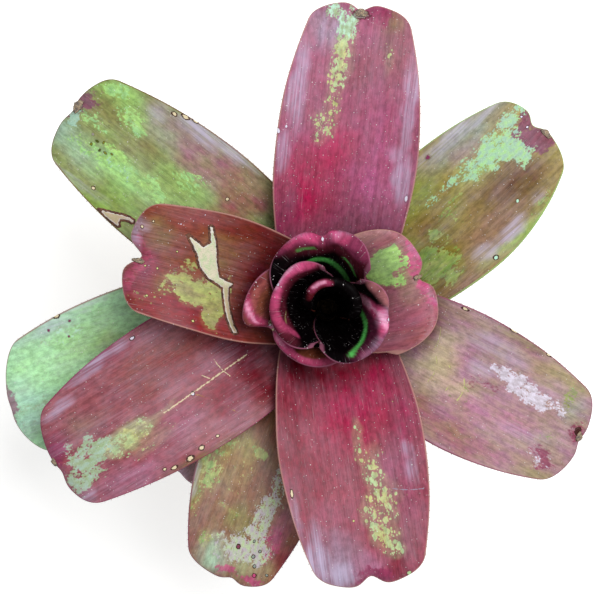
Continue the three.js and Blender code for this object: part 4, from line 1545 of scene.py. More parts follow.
    yield RED.like(
        "leaf_lower_right", 12, 330.8, 205, 47.5, (78, 25, 6, -4), swing=3, tip_width=0.62, notch=2, base=h.GREY_ROSE,
        second=h.MAUVE, third=h.KHAKI, speckle_hue=h.KHAKI, speckle_shade=h.LEAF_GREEN, pale_hue=h.BLUSH_WHITE,
        pale_shade=h.PALE_LILAC, flush_hue=h.WINE_ROSE, pale_grain=2.4, clouded=0.42, vivid=1.06,
        ground="TAN .46 .05 11 20 .95, TAN .55 -.1 12 9 .75, OXBLOOD .36 .5 9 16 .95, BRICK .48 -.66 10 9 .8, "
        "DUSTY_ROSE .61 -.74 22 9 .8, ORCHID .56 .3 14 12 .75, ORCHID .66 -.22 10 6 .5, ORCHID_ROSE .74 -.2 18 9 .6, "
        "ORCHID_ROSE .6 -.35 13 9 .6, KHAKI .85 .85 22 7 .9, MAUVE .88 -.76 11 5 .6, MAUVE .74 -.76 16 8 .6, "
        "GREY_SAGE .93 .5 8 8 .6, KHAKI .92 -.93 12 5 .8, OLIVE_BROWN .7 .98 20 4 .6",
        speckle=".62 .98 19 4 .4, .89 -.24 11 6 .35, .91 .68 10 8 .5, .6 -.2 26 12 .2",
        pale=".665 .38 7 6 .95, .71 .35 9 8 1.05, .77 .34 10 7 1, .81 .34 9 6 .85, .88 .36 7 6 .6, .89 -.66 9 5 .5",
        flush=".9 -.64 9 7 .75, .965 .15 6 8 .9, .6 .12 12 6 .45",
        bloom=".8 -.3 20 6 .3, .6 .3 10 6 .45, .6 .66 24 7 .4",
        wounds="94 45 2.6 1.2, 129 47 3.2 1.2, 157 43 2.2 1.2, 198 6 2.4 3 SCAB_RIM",
        lines="90 6 93 -11 .8 10 BUTTER, 101 5 107 -11 .8 10 BUTTER, 114 2 117 -13 .8 8 BUTTER, "
        "84 26 86 10 .45 4 BUTTER",
    )
    yield GREEN.like(
        "leaf_upper_left", 13, 142.6, 233, 46.5, (77, 21, 5, -5), tip_width=0.66, notch=2, second=h.SPRING_GREEN,
        third=h.OLIVE_BROWN, speckle_hue=h.MINT_GREEN, speckle_shade=h.LIME_GREEN, pale_hue=h.SEAFOAM,
        pale_shade=h.PALE_MINT, flush_hue=h.PLUM, margin_hue=h.UMBER, speckle_grain=3.4, clouded=0.34, vivid=1.05,
        gloss=0.1,
        ground="SPRING_GREEN .9 -.74 26 8 .9, OLIVE_BROWN .8 -.26 17 7 .85, MINT_GREEN .76 .34 26 11 .9, "
        "OLIVE_BROWN .88 .14 10 7 .5, OLIVE_BROWN .92 -.4 10 7 .7, PALE_MINT .94 .45 22 9 .85, "
        "SPRING_GREEN .58 -.08 18 12 .8, GREY_MAUVE .74 -.7 16 9 .8, GREY_MAUVE .65 -.5 12 8 .7, "
        "MAUVE .54 -.68 27 13 1, MAUVE .6 -.48 15 9 .9, BRICK .44 -.3 16 18 1, DUSTY_ROSE .46 -.65 18 12 .95, "
        "LEAF_GREEN .7 .7 20 9 .8, LEAF_GREEN .8 .95 26 5 .8",
        speckle=".8 .26 20 9 .92, .67 .16 13 7 .75, .9 -.12 10 6 .6, .83 -.55 16 7 .85, .92 -.78 10 7 .85, "
        ".6 -.2 14 8 .5, .9 .3 8 6 .5",
        pale=".955 .1 7 7 .9, .78 .3 16 5 .4",
        flush=".97 -.32 9 11 1.3, .985 -.05 5 7 1.1",
        bloom=".66 -.88 14 6 .85, .57 -1 24 5 .8, .78 -.76 6 5 .4, .88 .97 30 3 .4",
        wounds="187 32.5 1.6 1.5, 111 -16.5 1.6 1.5, 167 -43 3.2 1.6, 160 -45 2.4 1.4, 174 -40 2.4 1.4, "
        "199 10 1.2 1.6 DARK_MOSS .3, 204 6 1.8 1.2 DARK_MOSS .2, 209 4 1.4 1.4 ASH .2, 206 10 1 1.2 MOSS .9, "
        "195 9 1.6 .9 MOSS .8, 200 4 .9 1.2 MOSS .8, 191 7 1.1 .8 MOSS .8",
    )
    yield GREEN.like(
        "leaf_bottom_left", 14, 250, 204, 45, (76, 18, 4, -6), lopside=-0.13, tip_width=0.57, base=h.TAUPE,
        second=h.KHAKI, third=h.BRICK, speckle_hue=h.SPRING_GREEN, speckle_shade=h.BUTTER, pale_hue=h.BLUSH_WHITE,
        pale_shade=h.MINT_LIME, flush_hue=h.HOT_PINK, speckle_grain=2.6, pale_grain=1.9, dots=0.4,
        ground="KHAKI .56 -.55 17 13 .9, SAGE .79 -.2 14 9 .8, LEAF_GREEN .68 -.95 28 4 .85, SEAFOAM .93 -.5 9 10 .85, "
        "OLIVE_BROWN .78 0 9 5 .7, ORCHID_ROSE .78 .62 14 7 .7, GARNET .84 .97 24 7 1, BRICK .43 -.1 12 20 .8, "
        "MINT_LIME .92 .25 8 12 .5",
        speckle=".66 -.8 12 8 .9, .57 -.71 7 8 .75, .555 -.28 5 7 1.3, .75 -.4 3 12 .5, .77 -.87 10 4 .55, "
        ".64 -.4 14 8 .35, .9 -.75 8 6 .6",
        pale=".64 .22 14 5 .85, .73 .18 12 7 .95, .8 .2 10 8 .95, .87 .08 9 15 .98, .89 .42 6 5 .8, .89 -.45 8 8 .6",
        flush=".955 -.1 5 9 .95, .97 .43 4 11 .8, .85 .5 9 6 .85, .78 .5 9 5 .6, .85 0 3 3 .9",
        bloom=".72 -1 12 4 .6",
        wounds="178 -3 2 1.6 WINE, 181 9 1.5 1.3 GREY_SAGE, 176 12 1.3 1.2 GREY_SAGE, 187 12 1.5 1.3 GREY_SAGE, "
        "193 14 1.7 1.6 HOT_PINK, 190 22 1.2 1.2 GREY_SAGE, 171 6 1.2 1 GREY_SAGE",
    )
    yield GREEN.like(
        "leaf_upper_right", 15, 40.5, 194, 48, (75, 16, 3, -7), swing=4.5, lopside=-0.13, tip_width=0.56, notch=5,
        base=h.KHAKI, second=h.TAUPE, third=h.OLIVE_BROWN, speckle_hue=h.PATCH_OLIVE, speckle_shade=h.LEAF_GREEN,
        pale_hue=h.SEAFOAM, pale_shade=h.MINT_GREEN, flush_hue=h.PLUM, margin_hue=h.SPRING_GREEN, speckle_grain=3.4,
        wash=0.2, clouded=0.34, veil=0.16, vivid=1.18, gloss=0.05,
        ground="TAUPE .62 -.6 22 14 .85, COCOA .8 -.5 24 14 1, COCOA .7 -.25 16 8 .75, OLIVE_BROWN .55 .1 14 8 .5, "
        "GREY_SAGE .78 .72 38 9 .95, MINT_GREEN .75 .14 20 7 .5, GREY_MAUVE .72 .47 9 5 .6, UMBER .4 -.55 15 16 .95, "
        "TAUPE .46 -.95 14 7 .8, OLIVE_BROWN .48 -.2 12 9 .7, UMBER .44 -.08 8 10 .65, SPRING_GREEN .72 -.97 34 4 .7, "
        "LEAF_GREEN .45 .5 24 10 .8, LEAF_GREEN .3 .1 9 16 .8",
        speckle=".36 -.5 11 14 1.1, .43 -.6 10 12 .95, .64 -.9 14 4 .5, .45 -.2 10 9 .7, .57 -.1 14 10 .4, "
        ".8 -.9 16 4 .4",
        pale=".72 .18 15 8 .95, .79 .14 14 12 1.05, .87 -.05 11 15 1.05, .9 .3 11 9 .95, .95 .4 8 5 .85, "
        ".61 .2 14 5 .65, .53 .22 10 5 .5",
        flush=".925 -.05 7 9 1.2, .95 .16 6 5 1, .955 -.24 8 9 1.3, .985 .08 7 10 1.15",
        bloom=".72 .84 26 5 .6, .56 -.8 9 6 .7, .6 .9 14 5 .4, .66 -.8 11 5 .85, .84 .86 22 3 .5, .8 -.82 8 4 .4",
        wounds="119 34 2.4 2 PLUM .3, 144 -30 1.8 1.6 SEAFOAM .3, 108 -49 2 1.8 SEAFOAM, 186 10 1.2 1 PALE_LILAC, "
        "184 2 1.4 1 PALE_LILAC",
    )
    yield GREEN.like(
        "leaf_far_left", 16, 197.8, 232, 51, (74, 13, 2, -8), lopside=-0.12, tip_round=0.65, tip_power=1.9,
        tip_width=0.66, notch=1, base=h.FRESH_GREEN, second=h.SEAFOAM, third=h.SPRING_GREEN, speckle_hue=h.MINT_GREEN,
        speckle_shade=h.FRESH_GREEN, flush_hue=h.MAUVE, margin_hue=h.DUSTY_ROSE, clouded=0.24, streaked=0.16, veil=0.24,
        vivid=1.1,
        ground="SEAFOAM .95 .12 15 18 .9, SPRING_GREEN .68 -.55 22 14 .7, PALE_MINT .84 -.95 30 5 .7, "
        "TAUPE .64 -.45 8 6 .3",
        speckle=".74 -.7 14 8 .4, .84 -.3 14 8 .4",
        pale=".78 -.75 22 8 .5, .9 .2 18 10 .5",
        flush=".995 -.1 6 13 1, .985 -.35 5 6 .9",
        bloom=".7 -1 23 5 .6, .8 -.93 14 5 .5, .93 .5 12 6 .4",
        wounds="180 -52 2.6 2, 172 -46 1.4 1.4 PLUM .3, 188 -44 1.3 1.3 PLUM .3, 176 -36 1.2 1.2 PLUM .3",
    )
    yield RED.like(
        "leaf_under_left", 17, 228, 146, 36, (72, 10, 0, -10), tip_width=0.66, notch=1, wave=0.8, base=h.GREY_ROSE,
        second=h.TAUPE, third=h.MAUVE,
        bloom=".98 -.04 10 7 .6",
    )


def margin_teeth(
    g: Graph, margin: Value = "geometry", spacing: Value = 0.0, length: Value = 0.0, seed: Value = 1,
    finish: Value = "material",
) -> dict[str, Wire]:
    """A cone at even steps along every edge, which leans the way the margin faces."""
    curve = g.get("GeometryNodeMeshToCurve", {"Mesh": margin})
    even = g.get("GeometryNodeResampleCurve", {"Curve": curve, "Length": spacing}, mode="LENGTH")
    sizes = {"Vertices": 5, "Side Segments": 1, "Radius Bottom": 0.26, "Radius Top": 0.03, "Depth": 1.0}
    cone = g.get("GeometryNodeMeshCone", sizes)
    lean = g.get("GeometryNodeInputNamedAttribute", {"Name": "outward"}, data_type="FLOAT_VECTOR")
    turn = g.get("FunctionNodeAlignRotationToVector", {"Vector": lean}, axis="Z")
    scale = g.random("FLOAT", 0.55, 1.15, seed) * length
    return {"Teeth": g.placed(even, cone, finish, Rotation=turn, Scale=scale)}


@dataclass
class MarginSpines:
    """Short hooked teeth along a leaf's two margins. Lengths are in millimetres."""

    spacing: float = 4.6
    length: float = 0.85
    first: float = 34.0
    steps: int = 90
    proud: float = 0.2
    lean: float = 0.7

    def build(self, leaf: Leaf, tree: bpy.types.NodeTree, material: bpy.types.Material) -> bpy.types.Object:
        """Sets the teeth along one leaf.

        Args:
            leaf: the leaf.
            tree: the generator.
            material: the teeth's finish.

        Returns:
            The piece.
        """
        surface = leaf.surface
        points, outward, edges = [], [], []
        for side in (-1.0, 1.0):
            v = np.full(self.steps, side)
            s = np.linspace(self.first, float(surface.end_at(np.float64(side))) - 1.0, self.steps)
            margin = surface.at(s, v)
            across_step = unit(margin - surface.at(s, v - side * 0.02))
            along_step = unit(np.gradient(margin, axis=0))
            start = len(points)
            points += list(margin + across_step * self.proud)
            outward += list(unit(across_step + along_step * self.lean))
            edges += [(start + i, start + i + 1) for i in range(self.steps - 1)]
        mesh = bpy.data.meshes.new("margin")
        mesh.from_pydata((np.array(points) * MM).tolist(), edges, [])
        give_numbers(mesh, "outward", "FLOAT_VECTOR", np.array(outward))
        settings = {"Spacing": self.spacing * MM, "Length": self.length * MM, "Seed": leaf.form.shell + 5}
        return settle(grow(mesh, tree, f"{leaf.form.name}_teeth", Finish=material, **settings), leaf.slot)


def grow(mesh: bpy.types.Mesh, tree: bpy.types.NodeTree, name: str, **settings: object) -> bpy.types.Object:
    """Runs a generator on a mesh and keeps the result as a plain mesh.

    Args:
        mesh: the mesh that carries the generator's points or edges.
        tree: the generator.
        name: the new piece's name.
        settings: the generator's inputs by name.

    Returns:
        The new piece.
    """
    source = linked(mesh.name, mesh)
    modifier = source.modifiers.new("grow", "NODES")
    modifier.node_group = tree
    for item in tree.interface.items_tree:
        if item.name in settings:
            modifier[item.identifier] = settings[item.name]
    bpy.context.view_layer.update()
    graph = bpy.context.evaluated_depsgraph_get()
    made = bpy.data.meshes.new_from_object(source.evaluated_get(graph), preserve_all_data_layers=True, depsgraph=graph)
    made.name = name
    source.modifiers.clear()
    bpy.data.objects.remove(source)
    return linked(name, made)


# The outlines of the scars: how far each corner lies along its leaf and from the midrib.
SCAR_OUTLINE = rows(
    "150 -20.8, 137 -15.2, 133 -19.3, 137 -29.1, 135.4 -30, 129 -19, 125 -8.1, 120 1.4, 108 3.4, 111 6.5, 109.4 14, "
    "107 21.2, 104.2 29, 101.4 35.2, 104.6 36, 107.8 29.8, 111 22, 113.2 14.6, 115.8 7.6, 122 5.7, 128 4, 136 -2.3, "
    "140 -9.5, 144.6 -14.6"
)
TORN_OUTLINE = rows(
    "177 42.4, 171 39.6, 166 37.6, 162 35.4, 157 33.8, 152 33.4, 152 35.4, 157 36.6, 160 38.6, 159.5 41, 157 43, "
    "162 43.2, 168 42.9"
)


@dataclass
class PaperyScar:
    """A dead, papery patch stuck to a leaf, over a dark healed edge. Lengths are in millimetres."""

    name: str
    outline: Rows
    pitch: float = 1.3
    lift: float = 0.32
    grow: float = 0.0
    seed: float = 0.0
    crumple: float = 0.28
    sunk: float = 0.25
    roughness: float = 0.35

    def build(self, leaf: Leaf, material: bpy.types.Material) -> bpy.types.Object:
        """Lays the patch on the leaf as a thin closed solid.

        Args:
            leaf: the leaf that carries it.
            material: its finish.

        Returns:
            The piece.
        """
        outline = self._ragged_outline()
        low, high = outline.min(axis=0), outline.max(axis=0)
        xs, ys = np.arange(low[0], high[0], self.pitch), np.arange(low[1], high[1], self.pitch)
        grid = np.stack(np.meshgrid(xs, ys), axis=-1).reshape(-1, 2)
        grid = grid[self._inside(grid, outline)]
        flat = [Vector(p) for p in np.vstack([outline, grid]).tolist()]
        found = delaunay_2d_cdt(flat, [], [list(range(len(outline)))], 1, 1e-5)
        spots = np.array([tuple(p) for p in found[0]])
        edge = self._from_outline(spots, outline)
        crumple = np.array([noise.noise(Vector((x * 0.35, y * 0.35, self.seed))) for x, y in spots])
        lift = self.lift * smoothstep(-0.4, 1.2, edge) + self.crumple * crumple * smoothstep(0.2, 1.6, edge)
        top = leaf.surface.over(spots[:, 0], spots[:, 1], lift)
        bottom = leaf.surface.over(spots[:, 0], spots[:, 1], np.full(len(spots), -self.sunk))
        mesh = bmesh.new()
        upper = [mesh.verts.new(p) for p in (top * MM).tolist()]
        lower = [mesh.verts.new(p) for p in (bottom * MM).tolist()]
        for a, b, c in found[2]:
            mesh.faces.new((upper[a], upper[b], upper[c]))
            mesh.faces.new((lower[c], lower[b], lower[a]))
        twin = dict(zip(upper, lower, strict=True))
        for e in [e for e in mesh.edges if len(e.link_faces) == 1 and e.verts[0] in twin]:
            a, b = e.link_loops[0].vert, e.link_loops[0].link_loop_next.vert
            mesh.faces.new((b, a, twin[a], twin[b]))
        bmesh.ops.recalc_face_normals(mesh, faces=mesh.faces)
        piece = from_bmesh(self.name, mesh, material)
        place = np.column_stack([spots, edge])
        give_numbers(piece.data, "place", "FLOAT_VECTOR", np.concatenate([place, place]))
        return settle(piece, leaf.slot)

    def _ragged_outline(self) -> np.ndarray:
        """The outline in short steps, roughened, and grown outwards by grow."""
        corners = np.array(self.outline)
        area = np.sum(corners[:, 0] * np.roll(corners[:, 1], -1) - np.roll(corners[:, 0], -1) * corners[:, 1])
        if area < 0:
            corners = corners[::-1]
        out = []
        for a, b in zip(corners, np.roll(corners, -1, axis=0), strict=True):
            run = b - a
            count = max(1, math.ceil(np.linalg.norm(run) / 1.0))
            side = np.array([run[1], -run[0]]) / np.linalg.norm(run)
            for k in range(count):
                p = a + run * k / count
                rough = noise.noise(Vector((p[0] * 0.6, p[1] * 0.6, self.seed + 7.0))) * self.roughness
                out.append(p + side * (rough + self.grow))
        return np.array(out)

    def _inside(self, points: np.ndarray, outline: np.ndarray) -> np.ndarray:
        """Which points lie inside the outline, and not too near it."""
        x, y = points[:, 0], points[:, 1]
        inside = np.zeros(len(points), bool)
        for (x0, y0), (x1, y1) in zip(outline, np.roll(outline, -1, axis=0), strict=True):
            crosses = (y0 > y) != (y1 > y)
            with np.errstate(divide="ignore", invalid="ignore"):
                inside ^= crosses & (x < (x1 - x0) * (y - y0) / (y1 - y0) + x0)
        return inside & (self._from_outline(points, outline) > self.pitch * 0.45)

    def _from_outline(self, points: np.ndarray, outline: np.ndarray) -> np.ndarray:
        """How far each point lies from the nearest one of the outline."""
        return np.min(np.hypot(*(points[:, None, :] - outline[None, :, :]).transpose(2, 0, 1)), axis=1)


@dataclass
class DriedTip:
    """A small shrivelled lump at a leaf's end. Lengths are in millimetres."""

    along: float
    across: float
    size: tuple[float, float, float]
    lift: float = 0.4
    taper: float = 0.35
    folds: float = 0.45
    crumbs: float = 0.16

    def build(self, leaf: Leaf, material: bpy.types.Material) -> bpy.types.Object:
        """Sits the lump on the leaf.

        Args:
            leaf: the leaf that carries it.
            material: its finish.

        Returns:
            The piece.
        """
        surface = leaf.surface
        v = surface.v_at(np.float64(self.along), np.float64(self.across))
        s = np.minimum(np.float64(self.along), surface.end_at(v) - 0.5)
        centre = surface.over(s, np.float64(self.across), np.float64(self.lift))
        ahead = unit(surface.at(s, v) - surface.at(s - 1.0, v))
        side = unit(surface.at(s, v + 0.02) - surface.at(s, v - 0.02))
        up = np.cross(ahead, side)
        mesh = bmesh.new()
        bmesh.ops.create_icosphere(mesh, subdivisions=3, radius=1.0)
        for vertex in mesh.verts:
            p = vertex.co.copy()
            folds = self.folds * noise.noise(p * 2.1 + Vector((self.along, 0, 0)))
            shrink = 1.0 + folds + self.crumbs * noise.noise(p * 6.3)
            taper = 1.0 - self.taper * p.x
            local = np.array([p.x * self.size[0], p.y * self.size[1] * taper, p.z * self.size[2]]) * shrink
            vertex.co = Vector((centre + ahead * local[0] + side * local[1] + up * local[2]) * MM)
        name = leaf.form.name.replace("leaf_", "")
        return settle(from_bmesh(f"{name}_tip", mesh, material), leaf.slot)


# ---- the pot and what fills it ----
def pot_inside(z: float) -> float:
    """Radius of the pot's inner wall at height z."""
    return POT_FOOT_RADIUS + (POT_NECK_RADIUS - POT_FOOT_RADIUS) * z / POT_HEIGHT - POT_WALL


@dataclass
class ClayPot:
    """A plain thrown clay pot with a stepped collar."""

    step: float = 4.0
    sides: int = 160
    pitch: float = 2.6
    plain_edge: float = 4.0
    plain_middle: float = 30.0
    ridges: float = 0.12
    sway: float = 0.05

    def build(self) -> bpy.types.Object:
        """Turns the pot and gives it fired clay."""
        neck = pot_inside(POT_COLLAR_FOOT) + POT_WALL
        mouth = pot_inside(POT_HEIGHT)
        outside = [(0, 0, 0), (POT_FOOT_RADIUS, 0, 2.0), (neck, POT_COLLAR_FOOT, 1.0)]
        collar = [(neck + self.step, POT_COLLAR_FOOT, 1.6), (POT_RIM_RADIUS, POT_HEIGHT, 2.2), (mouth, POT_HEIGHT, 2.2)]
        corners = [*outside, *collar, (pot_inside(POT_FLOOR), POT_FLOOR, 2.0), (0, POT_FLOOR, 0)]
        points, faces = Turned(spaced(rounded(corners), self.pitch), self.sides, self._throwing).mesh()
        return settle(make_piece("pot_shell", points, faces, FiredClay().material()), "clay", "pot")

    def _throwing(self, r: float, z: float, angle: float) -> tuple[float, float]:
        """The faint rings left by turning, which lie within a fifth of a millimetre."""
        if not self.plain_edge <= z <= POT_HEIGHT - self.plain_edge or r < self.plain_middle:
            return 0.0, 0.0
        ridge = self.ridges * math.sin(z * 1.9 + 0.35 * math.sin(angle))
        return ridge - self.sway * (1.0 + math.sin(angle * 2.0 + 1.0)), 0.0


def strewn_bits(
    g: Graph, spots: Value = "geometry", first: Value = "object", second: Value = "object", third: Value = "object",
    smallest: Value = 0.7, largest: Value = 1.4, seed: Value = 1, finish: Value = "material",
) -> dict[str, Wire]:
    """One of three shapes on every point, each turned and sized at random."""
    kinds = g.add("GeometryNodeJoinGeometry")
    for label in (third, second, first):
        shape = g.get("GeometryNodeObjectInfo", {"Object": label}, "Geometry")
        g.feed(kinds.inputs[0], g.get("GeometryNodeGeometryToInstance", {"Geometry": shape}))
    which = g.random("INT", 0, 2, seed + 1.0)
    turn = g.random("FLOAT_VECTOR", (-0.35, -0.35, 0.0), (0.35, 0.35, 6.28), seed + 2.0)
    size = g.random("FLOAT", smallest, largest, seed + 3.0)
    spin = g.get("FunctionNodeEulerToRotation", {"Euler": turn})
    how = {"Pick_Instance": True, "Instance_Index": which, "Rotation": spin, "Scale": size}
    return {"Bits": g.placed(spots, Wire(g, kinds.outputs[0]), finish, **how)}


@dataclass
class PottingMix:
    """The mix in the pot, with loose bark and perlite on it."""

    sides: int = 168
    pitch: float = 1.7
    chips: int = 150
    crumbs: int = 170
    ring: tuple[float, float] = (41.0, 60.0)
    lumpy: tuple[float, float] = (32.0, 65.5)
    lumps: tuple[tuple[float, float], ...] = ((1.1, 0.16), (0.8, 0.42), (0.45, 1.1))
    chip_sizes: tuple[tuple[float, float, float], ...] = ((5.2, 2.6, 0.9), (3.6, 2.9, 1.1), (4.4, 1.7, 0.8))
    crumb_sizes: tuple[tuple[float, float, float], ...] = ((1.3, 1.1, 0.9), (1.0, 1.0, 0.9), (1.6, 1.2, 1.0))

    def build(self) -> None:
        """Fills the pot."""
        hole = STEM_ROOT_RADIUS + FIT_GAP
        bottom = POT_FLOOR + FIT_GAP
        floor = SOIL_LEVEL - STEM_ROOT_DEPTH - FIT_GAP
        shoulder, edge = SOIL_LEVEL - 3.0, SOIL_LEVEL - 1.0
        side = [(0.0, bottom), (pot_inside(bottom) - FIT_GAP, bottom), (pot_inside(shoulder) - FIT_GAP, shoulder)]
        top = spaced([side[-1], (pot_inside(edge) - 3.0, edge), (hole, SOIL_LEVEL)], self.pitch)
        profile = [*side[:2], *top, (hole, floor), (0.0, floor)]
        points, faces = Turned(profile, self.sides, self._lumps).mesh()
        settle(make_piece("potting_mix_bed", points, faces, PeatMix().material()), "potting_mix", "soil")
        tree = Group(strewn_bits, "GeometryNodeTree").tree
        chips = [self._lump(size, 0.5, i * 3.1) for i, size in enumerate(self.chip_sizes)]
        self._strew("bark_chips", tree, chips, SplitBark(), self.chips, 3, (0.7, 1.45))
        crumbs = [self._lump(size, 0.6, i * 4.7) for i, size in enumerate(self.crumb_sizes)]
        self._strew("perlite", tree, crumbs, PerliteGrain(), self.crumbs, 8, (0.5, 1.2))

    def _lumps(self, r: float, z: float, angle: float) -> tuple[float, float]:
        """Crumbs of the top, level with the stem's underside near it."""
        low, high = self.lumpy
        if z < SOIL_LEVEL - 3.5 or not low <= r <= high:
            return 0.0, 0.0
        spot = Vector((r * math.cos(angle), r * math.sin(angle), 0.0))
        rough = sum(height * noise.noise(spot * grain) for height, grain in self.lumps)
        fade = min(1.0, (r - low) / 6.0) * min(1.0, (high - r) / 3.0)
        return 0.0, (rough - 0.2) * fade

    def _lump(self, size: tuple[float, float, float], rough: float, seed: float) -> bpy.types.Object:
        """One rough lump about the origin.

        Args:
            size: its half sizes in millimetres.
            rough: how uneven it is.
            seed: which unevenness.

        Returns:
            The lump.
        """
        mesh = bmesh.new()
        bmesh.ops.create_icosphere(mesh, subdivisions=1, radius=1.0)
        for vertex in mesh.verts:
            p = vertex.co.copy()
            blocky = Vector(tuple(math.copysign(abs(c) ** 0.6, c) for c in p))
            swell = 1.0 + rough * noise.noise(p * 1.7 + Vector((seed, 0.0, 0.0)))
            vertex.co = Vector(tuple(c * h * swell * MM for c, h in zip(blocky, size, strict=True)))
        return from_bmesh("lump", mesh)

    def _strew(
        self, name: str, tree: bpy.types.NodeTree, shapes: list[bpy.types.Object], finish: Finish, count: int,
        seed: int, sizes: tuple[float, float],
    ) -> None:
        """Strews bits over the ring of mix between the stem and the pot.

        Args:
            name: the piece's name.
            tree: the generator.
            shapes: the three shapes, which are used up.
            finish: their finish.
            count: how many.
            seed: which arrangement.
            sizes: the least and greatest scale.
        """
        rng = np.random.default_rng(seed)
        angle = rng.uniform(0.0, 2.0 * math.pi, count)
        radius = np.sqrt(rng.uniform(self.ring[0] ** 2, self.ring[1] ** 2, count))
        height = SOIL_LEVEL + rng.uniform(0.1, 0.9, count)
        spots = np.stack([radius * np.cos(angle), radius * np.sin(angle), height], axis=-1) * MM
        mesh = bpy.data.meshes.new("spots")
        mesh.from_pydata(spots.tolist(), [], [])
        settings = dict(zip(("First", "Second", "Third", "Smallest", "Largest"), (*shapes, *sizes), strict=True))
        piece = grow(mesh, tree, name, Seed=seed, Finish=finish.material(), **settings)
        for shape in shapes:
            bpy.data.objects.remove(shape)
        settle(piece, "potting_mix")


@dataclass
class Stem:
    """The broad short stem that the leaves clasp."""

    sides: int = 96
    pitch: float = 1.6
    lip: float = 5.0

    def build(self) -> bpy.types.Object:
        """Turns the stem and gives it a ringed, corky skin."""
        top = FIRST_SHELL_RADIUS - SHEATH_THICKNESS
        edge = FIRST_SHELL_RADIUS + SHELL_PITCH * LAST_SHELL + CONE_MARGIN
        clearance = SHELL_DROP * SHEATH_THICKNESS + FIT_GAP
        underside = SOIL_LEVEL + FIT_GAP
        root_end = SOIL_LEVEL - STEM_ROOT_DEPTH
        root = [(0, root_end, 0), (STEM_ROOT_RADIUS, root_end, 2.0), (STEM_ROOT_RADIUS, underside, 0.0)]
        cone = [(r, self._base_height(r) - clearance, soft) for r, soft in ((edge, 1.2), (top, 0.8))]
        corners = [*root, (edge - self.lip, underside, 1.0), *cone, (0, self._base_height(top), 0)]
        points, faces = Turned(spaced(rounded(corners), self.pitch), self.sides).mesh()
        return settle(make_piece("stem_core", points, faces, StemCork().material()), "stem", "stem")

    def _base_height(self, r: float) -> float:
        """Height of the leaf bases at radius r."""
        return HEART_HEIGHT - SHELL_DROP * (r - FIRST_SHELL_RADIUS)


# ---- the rosette as a whole ----
@dataclass
class Rosette:
    """Every leaf, with its teeth, scars and dried ends."""

    scars: tuple[tuple[str, PaperyScar, bool], ...] = (
        ("short_leaf_left", PaperyScar("scar_rim", SCAR_OUTLINE, lift=0.3, grow=1.3, seed=2.0), True),
        ("short_leaf_left", PaperyScar("scar_paper", SCAR_OUTLINE, lift=0.62, grow=0.15, seed=2.0), False),
        ("leaf_upper_left", PaperyScar("torn_rim", TORN_OUTLINE, lift=0.3, grow=1.2, seed=4.0), True),
        ("leaf_upper_left", PaperyScar("torn_paper", TORN_OUTLINE, lift=0.6, grow=0.1, seed=4.0), False),
    )
    tips: tuple[tuple[str, DriedTip], ...] = (
        ("leaf_upper_left", DriedTip(229.0, -5.0, (3.2, 4.6, 1.3))),
        ("leaf_top", DriedTip(220.5, 0.0, (2.8, 4.4, 1.2))),
        ("leaf_lower_left", DriedTip(231.0, -8.0, (1.8, 3.0, 0.9))),
        ("leaf_lower_right", DriedTip(201.0, 3.0, (2.4, 3.2, 1.0))),
        ("leaf_upper_right", DriedTip(190.5, -10.5, (2.4, 4.0, 1.1))),
        ("short_leaf_left", DriedTip(176.0, 4.0, (5.0, 1.8, 1.2))),
        ("short_leaf_right", DriedTip(94.0, 1.0, (3.6, 1.4, 1.0))),
        ("cup_leaf_lower_left", DriedTip(98.0, -9.0, (4.0, 1.8, 1.2))),
    )

    def build(self) -> None:
        """Builds the leaves and what sits on them."""
        under = {hue: LeafUnder(f"leaf_{hue.name.lower()}", base=hue).material() for hue in (RED.under, GREEN.under)}
        leaves = {leaf.form.name: leaf for leaf in plant_leaves()}
        for leaf in leaves.values():
            leaf.build(under[leaf.under])
        teeth, horn = MarginSpines(), ToothHorn().material()
        tree = Group(margin_teeth, "GeometryNodeTree").tree
        for name, leaf in leaves.items():
            if not name.startswith("heart"):
                teeth.build(leaf, tree, horn)
        paper, healed = DeadSkin().material(), DeadTissue("healed_edge", bleached=0.15).material()
        shrivelled = DeadTissue().material()
        for name, scar, dark in self.scars:
            scar.build(leaves[name], healed if dark else paper)
        for name, tip in self.tips:
            tip.build(leaves[name], shrivelled)


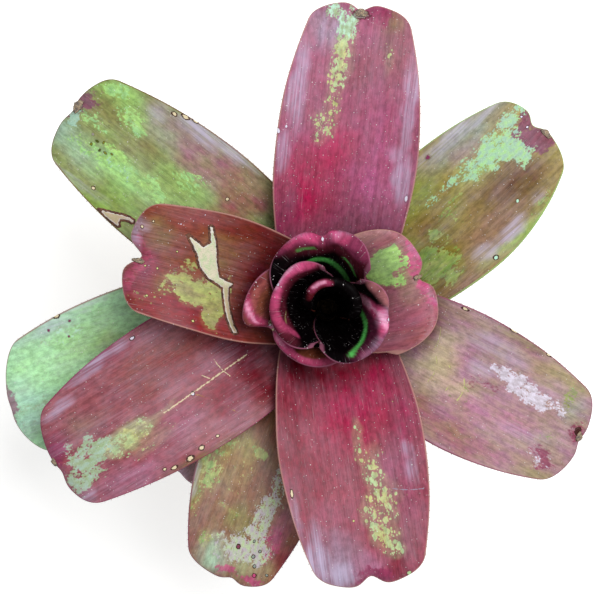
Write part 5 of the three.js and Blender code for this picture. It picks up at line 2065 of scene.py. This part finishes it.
# ---- the studio ----
@dataclass
class Studio:
    """The camera, a pale floor and soft light."""

    eye: tuple[float, float, float] = (-20.4, 7.5, 1090.0)
    lens: float = 79.41
    sensor: float = 36.0
    floor_size: float = 8.0
    floor_below: float = 0.2
    sky: float = 0.5
    lamp_place: tuple[float, float, float] = (0.5, 0.4, 1.45)
    lamp_aim: tuple[float, float, float] = (0.0, 0.0, 0.15)
    lamp_size: float = 0.9
    lamp_power: float = 19.0

    def build(self) -> None:
        """Sets the camera, the world, the lamp and the floor."""
        scene = bpy.context.scene
        data = bpy.data.cameras.new("camera")
        data.lens, data.sensor_width, data.sensor_fit = self.lens, self.sensor, "HORIZONTAL"
        camera = bpy.data.objects.new("camera", data)
        camera.location = Vector(self.eye) * MM
        scene.collection.objects.link(camera)
        scene.camera = camera
        scene.view_settings.view_transform = "Standard"
        self._sky(scene)
        self._lamp(scene)
        self._floor()
        LOG.info("studio set")

    def _sky(self, scene: bpy.types.Scene) -> None:
        """An even, slightly cool surround."""
        world = bpy.data.worlds.new("surround")
        world.use_nodes = True
        background = world.node_tree.nodes["Background"]
        background.inputs["Color"].default_value = (0.96, 0.98, 1.0, 1.0)
        background.inputs["Strength"].default_value = self.sky
        scene.world = world

    def _lamp(self, scene: bpy.types.Scene) -> None:
        """A square soft light aimed at the plant."""
        data = bpy.data.lights.new("key_light", "AREA")
        data.energy, data.size = self.lamp_power, self.lamp_size
        lamp = bpy.data.objects.new("key_light", data)
        lamp.location = self.lamp_place
        lamp.rotation_euler = (Vector(self.lamp_aim) - lamp.location).to_track_quat("-Z", "Y").to_euler()
        scene.collection.objects.link(lamp)

    def _floor(self) -> None:
        """A plain pale floor under the pot."""
        half, z = self.floor_size / 2.0 / MM, -self.floor_below
        corners = np.array([(-half, -half, z), (half, -half, z), (half, half, z), (-half, half, z)])
        floor = make_piece("floor", corners, [(0, 1, 2, 3)], PaleFloor().material())
        floor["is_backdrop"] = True


def main() -> None:
    """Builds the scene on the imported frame."""
    logging.basicConfig(level=logging.INFO, format="%(name)s: %(message)s")
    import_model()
    sizes = {"cad": [list(corner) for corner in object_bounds()]}
    for part in (Studio(), ClayPot(), PottingMix(), Stem(), Rosette()):
        part.build()
    sizes["visual"] = [list(corner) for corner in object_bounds()]


if __name__ == "__main__":
    main()
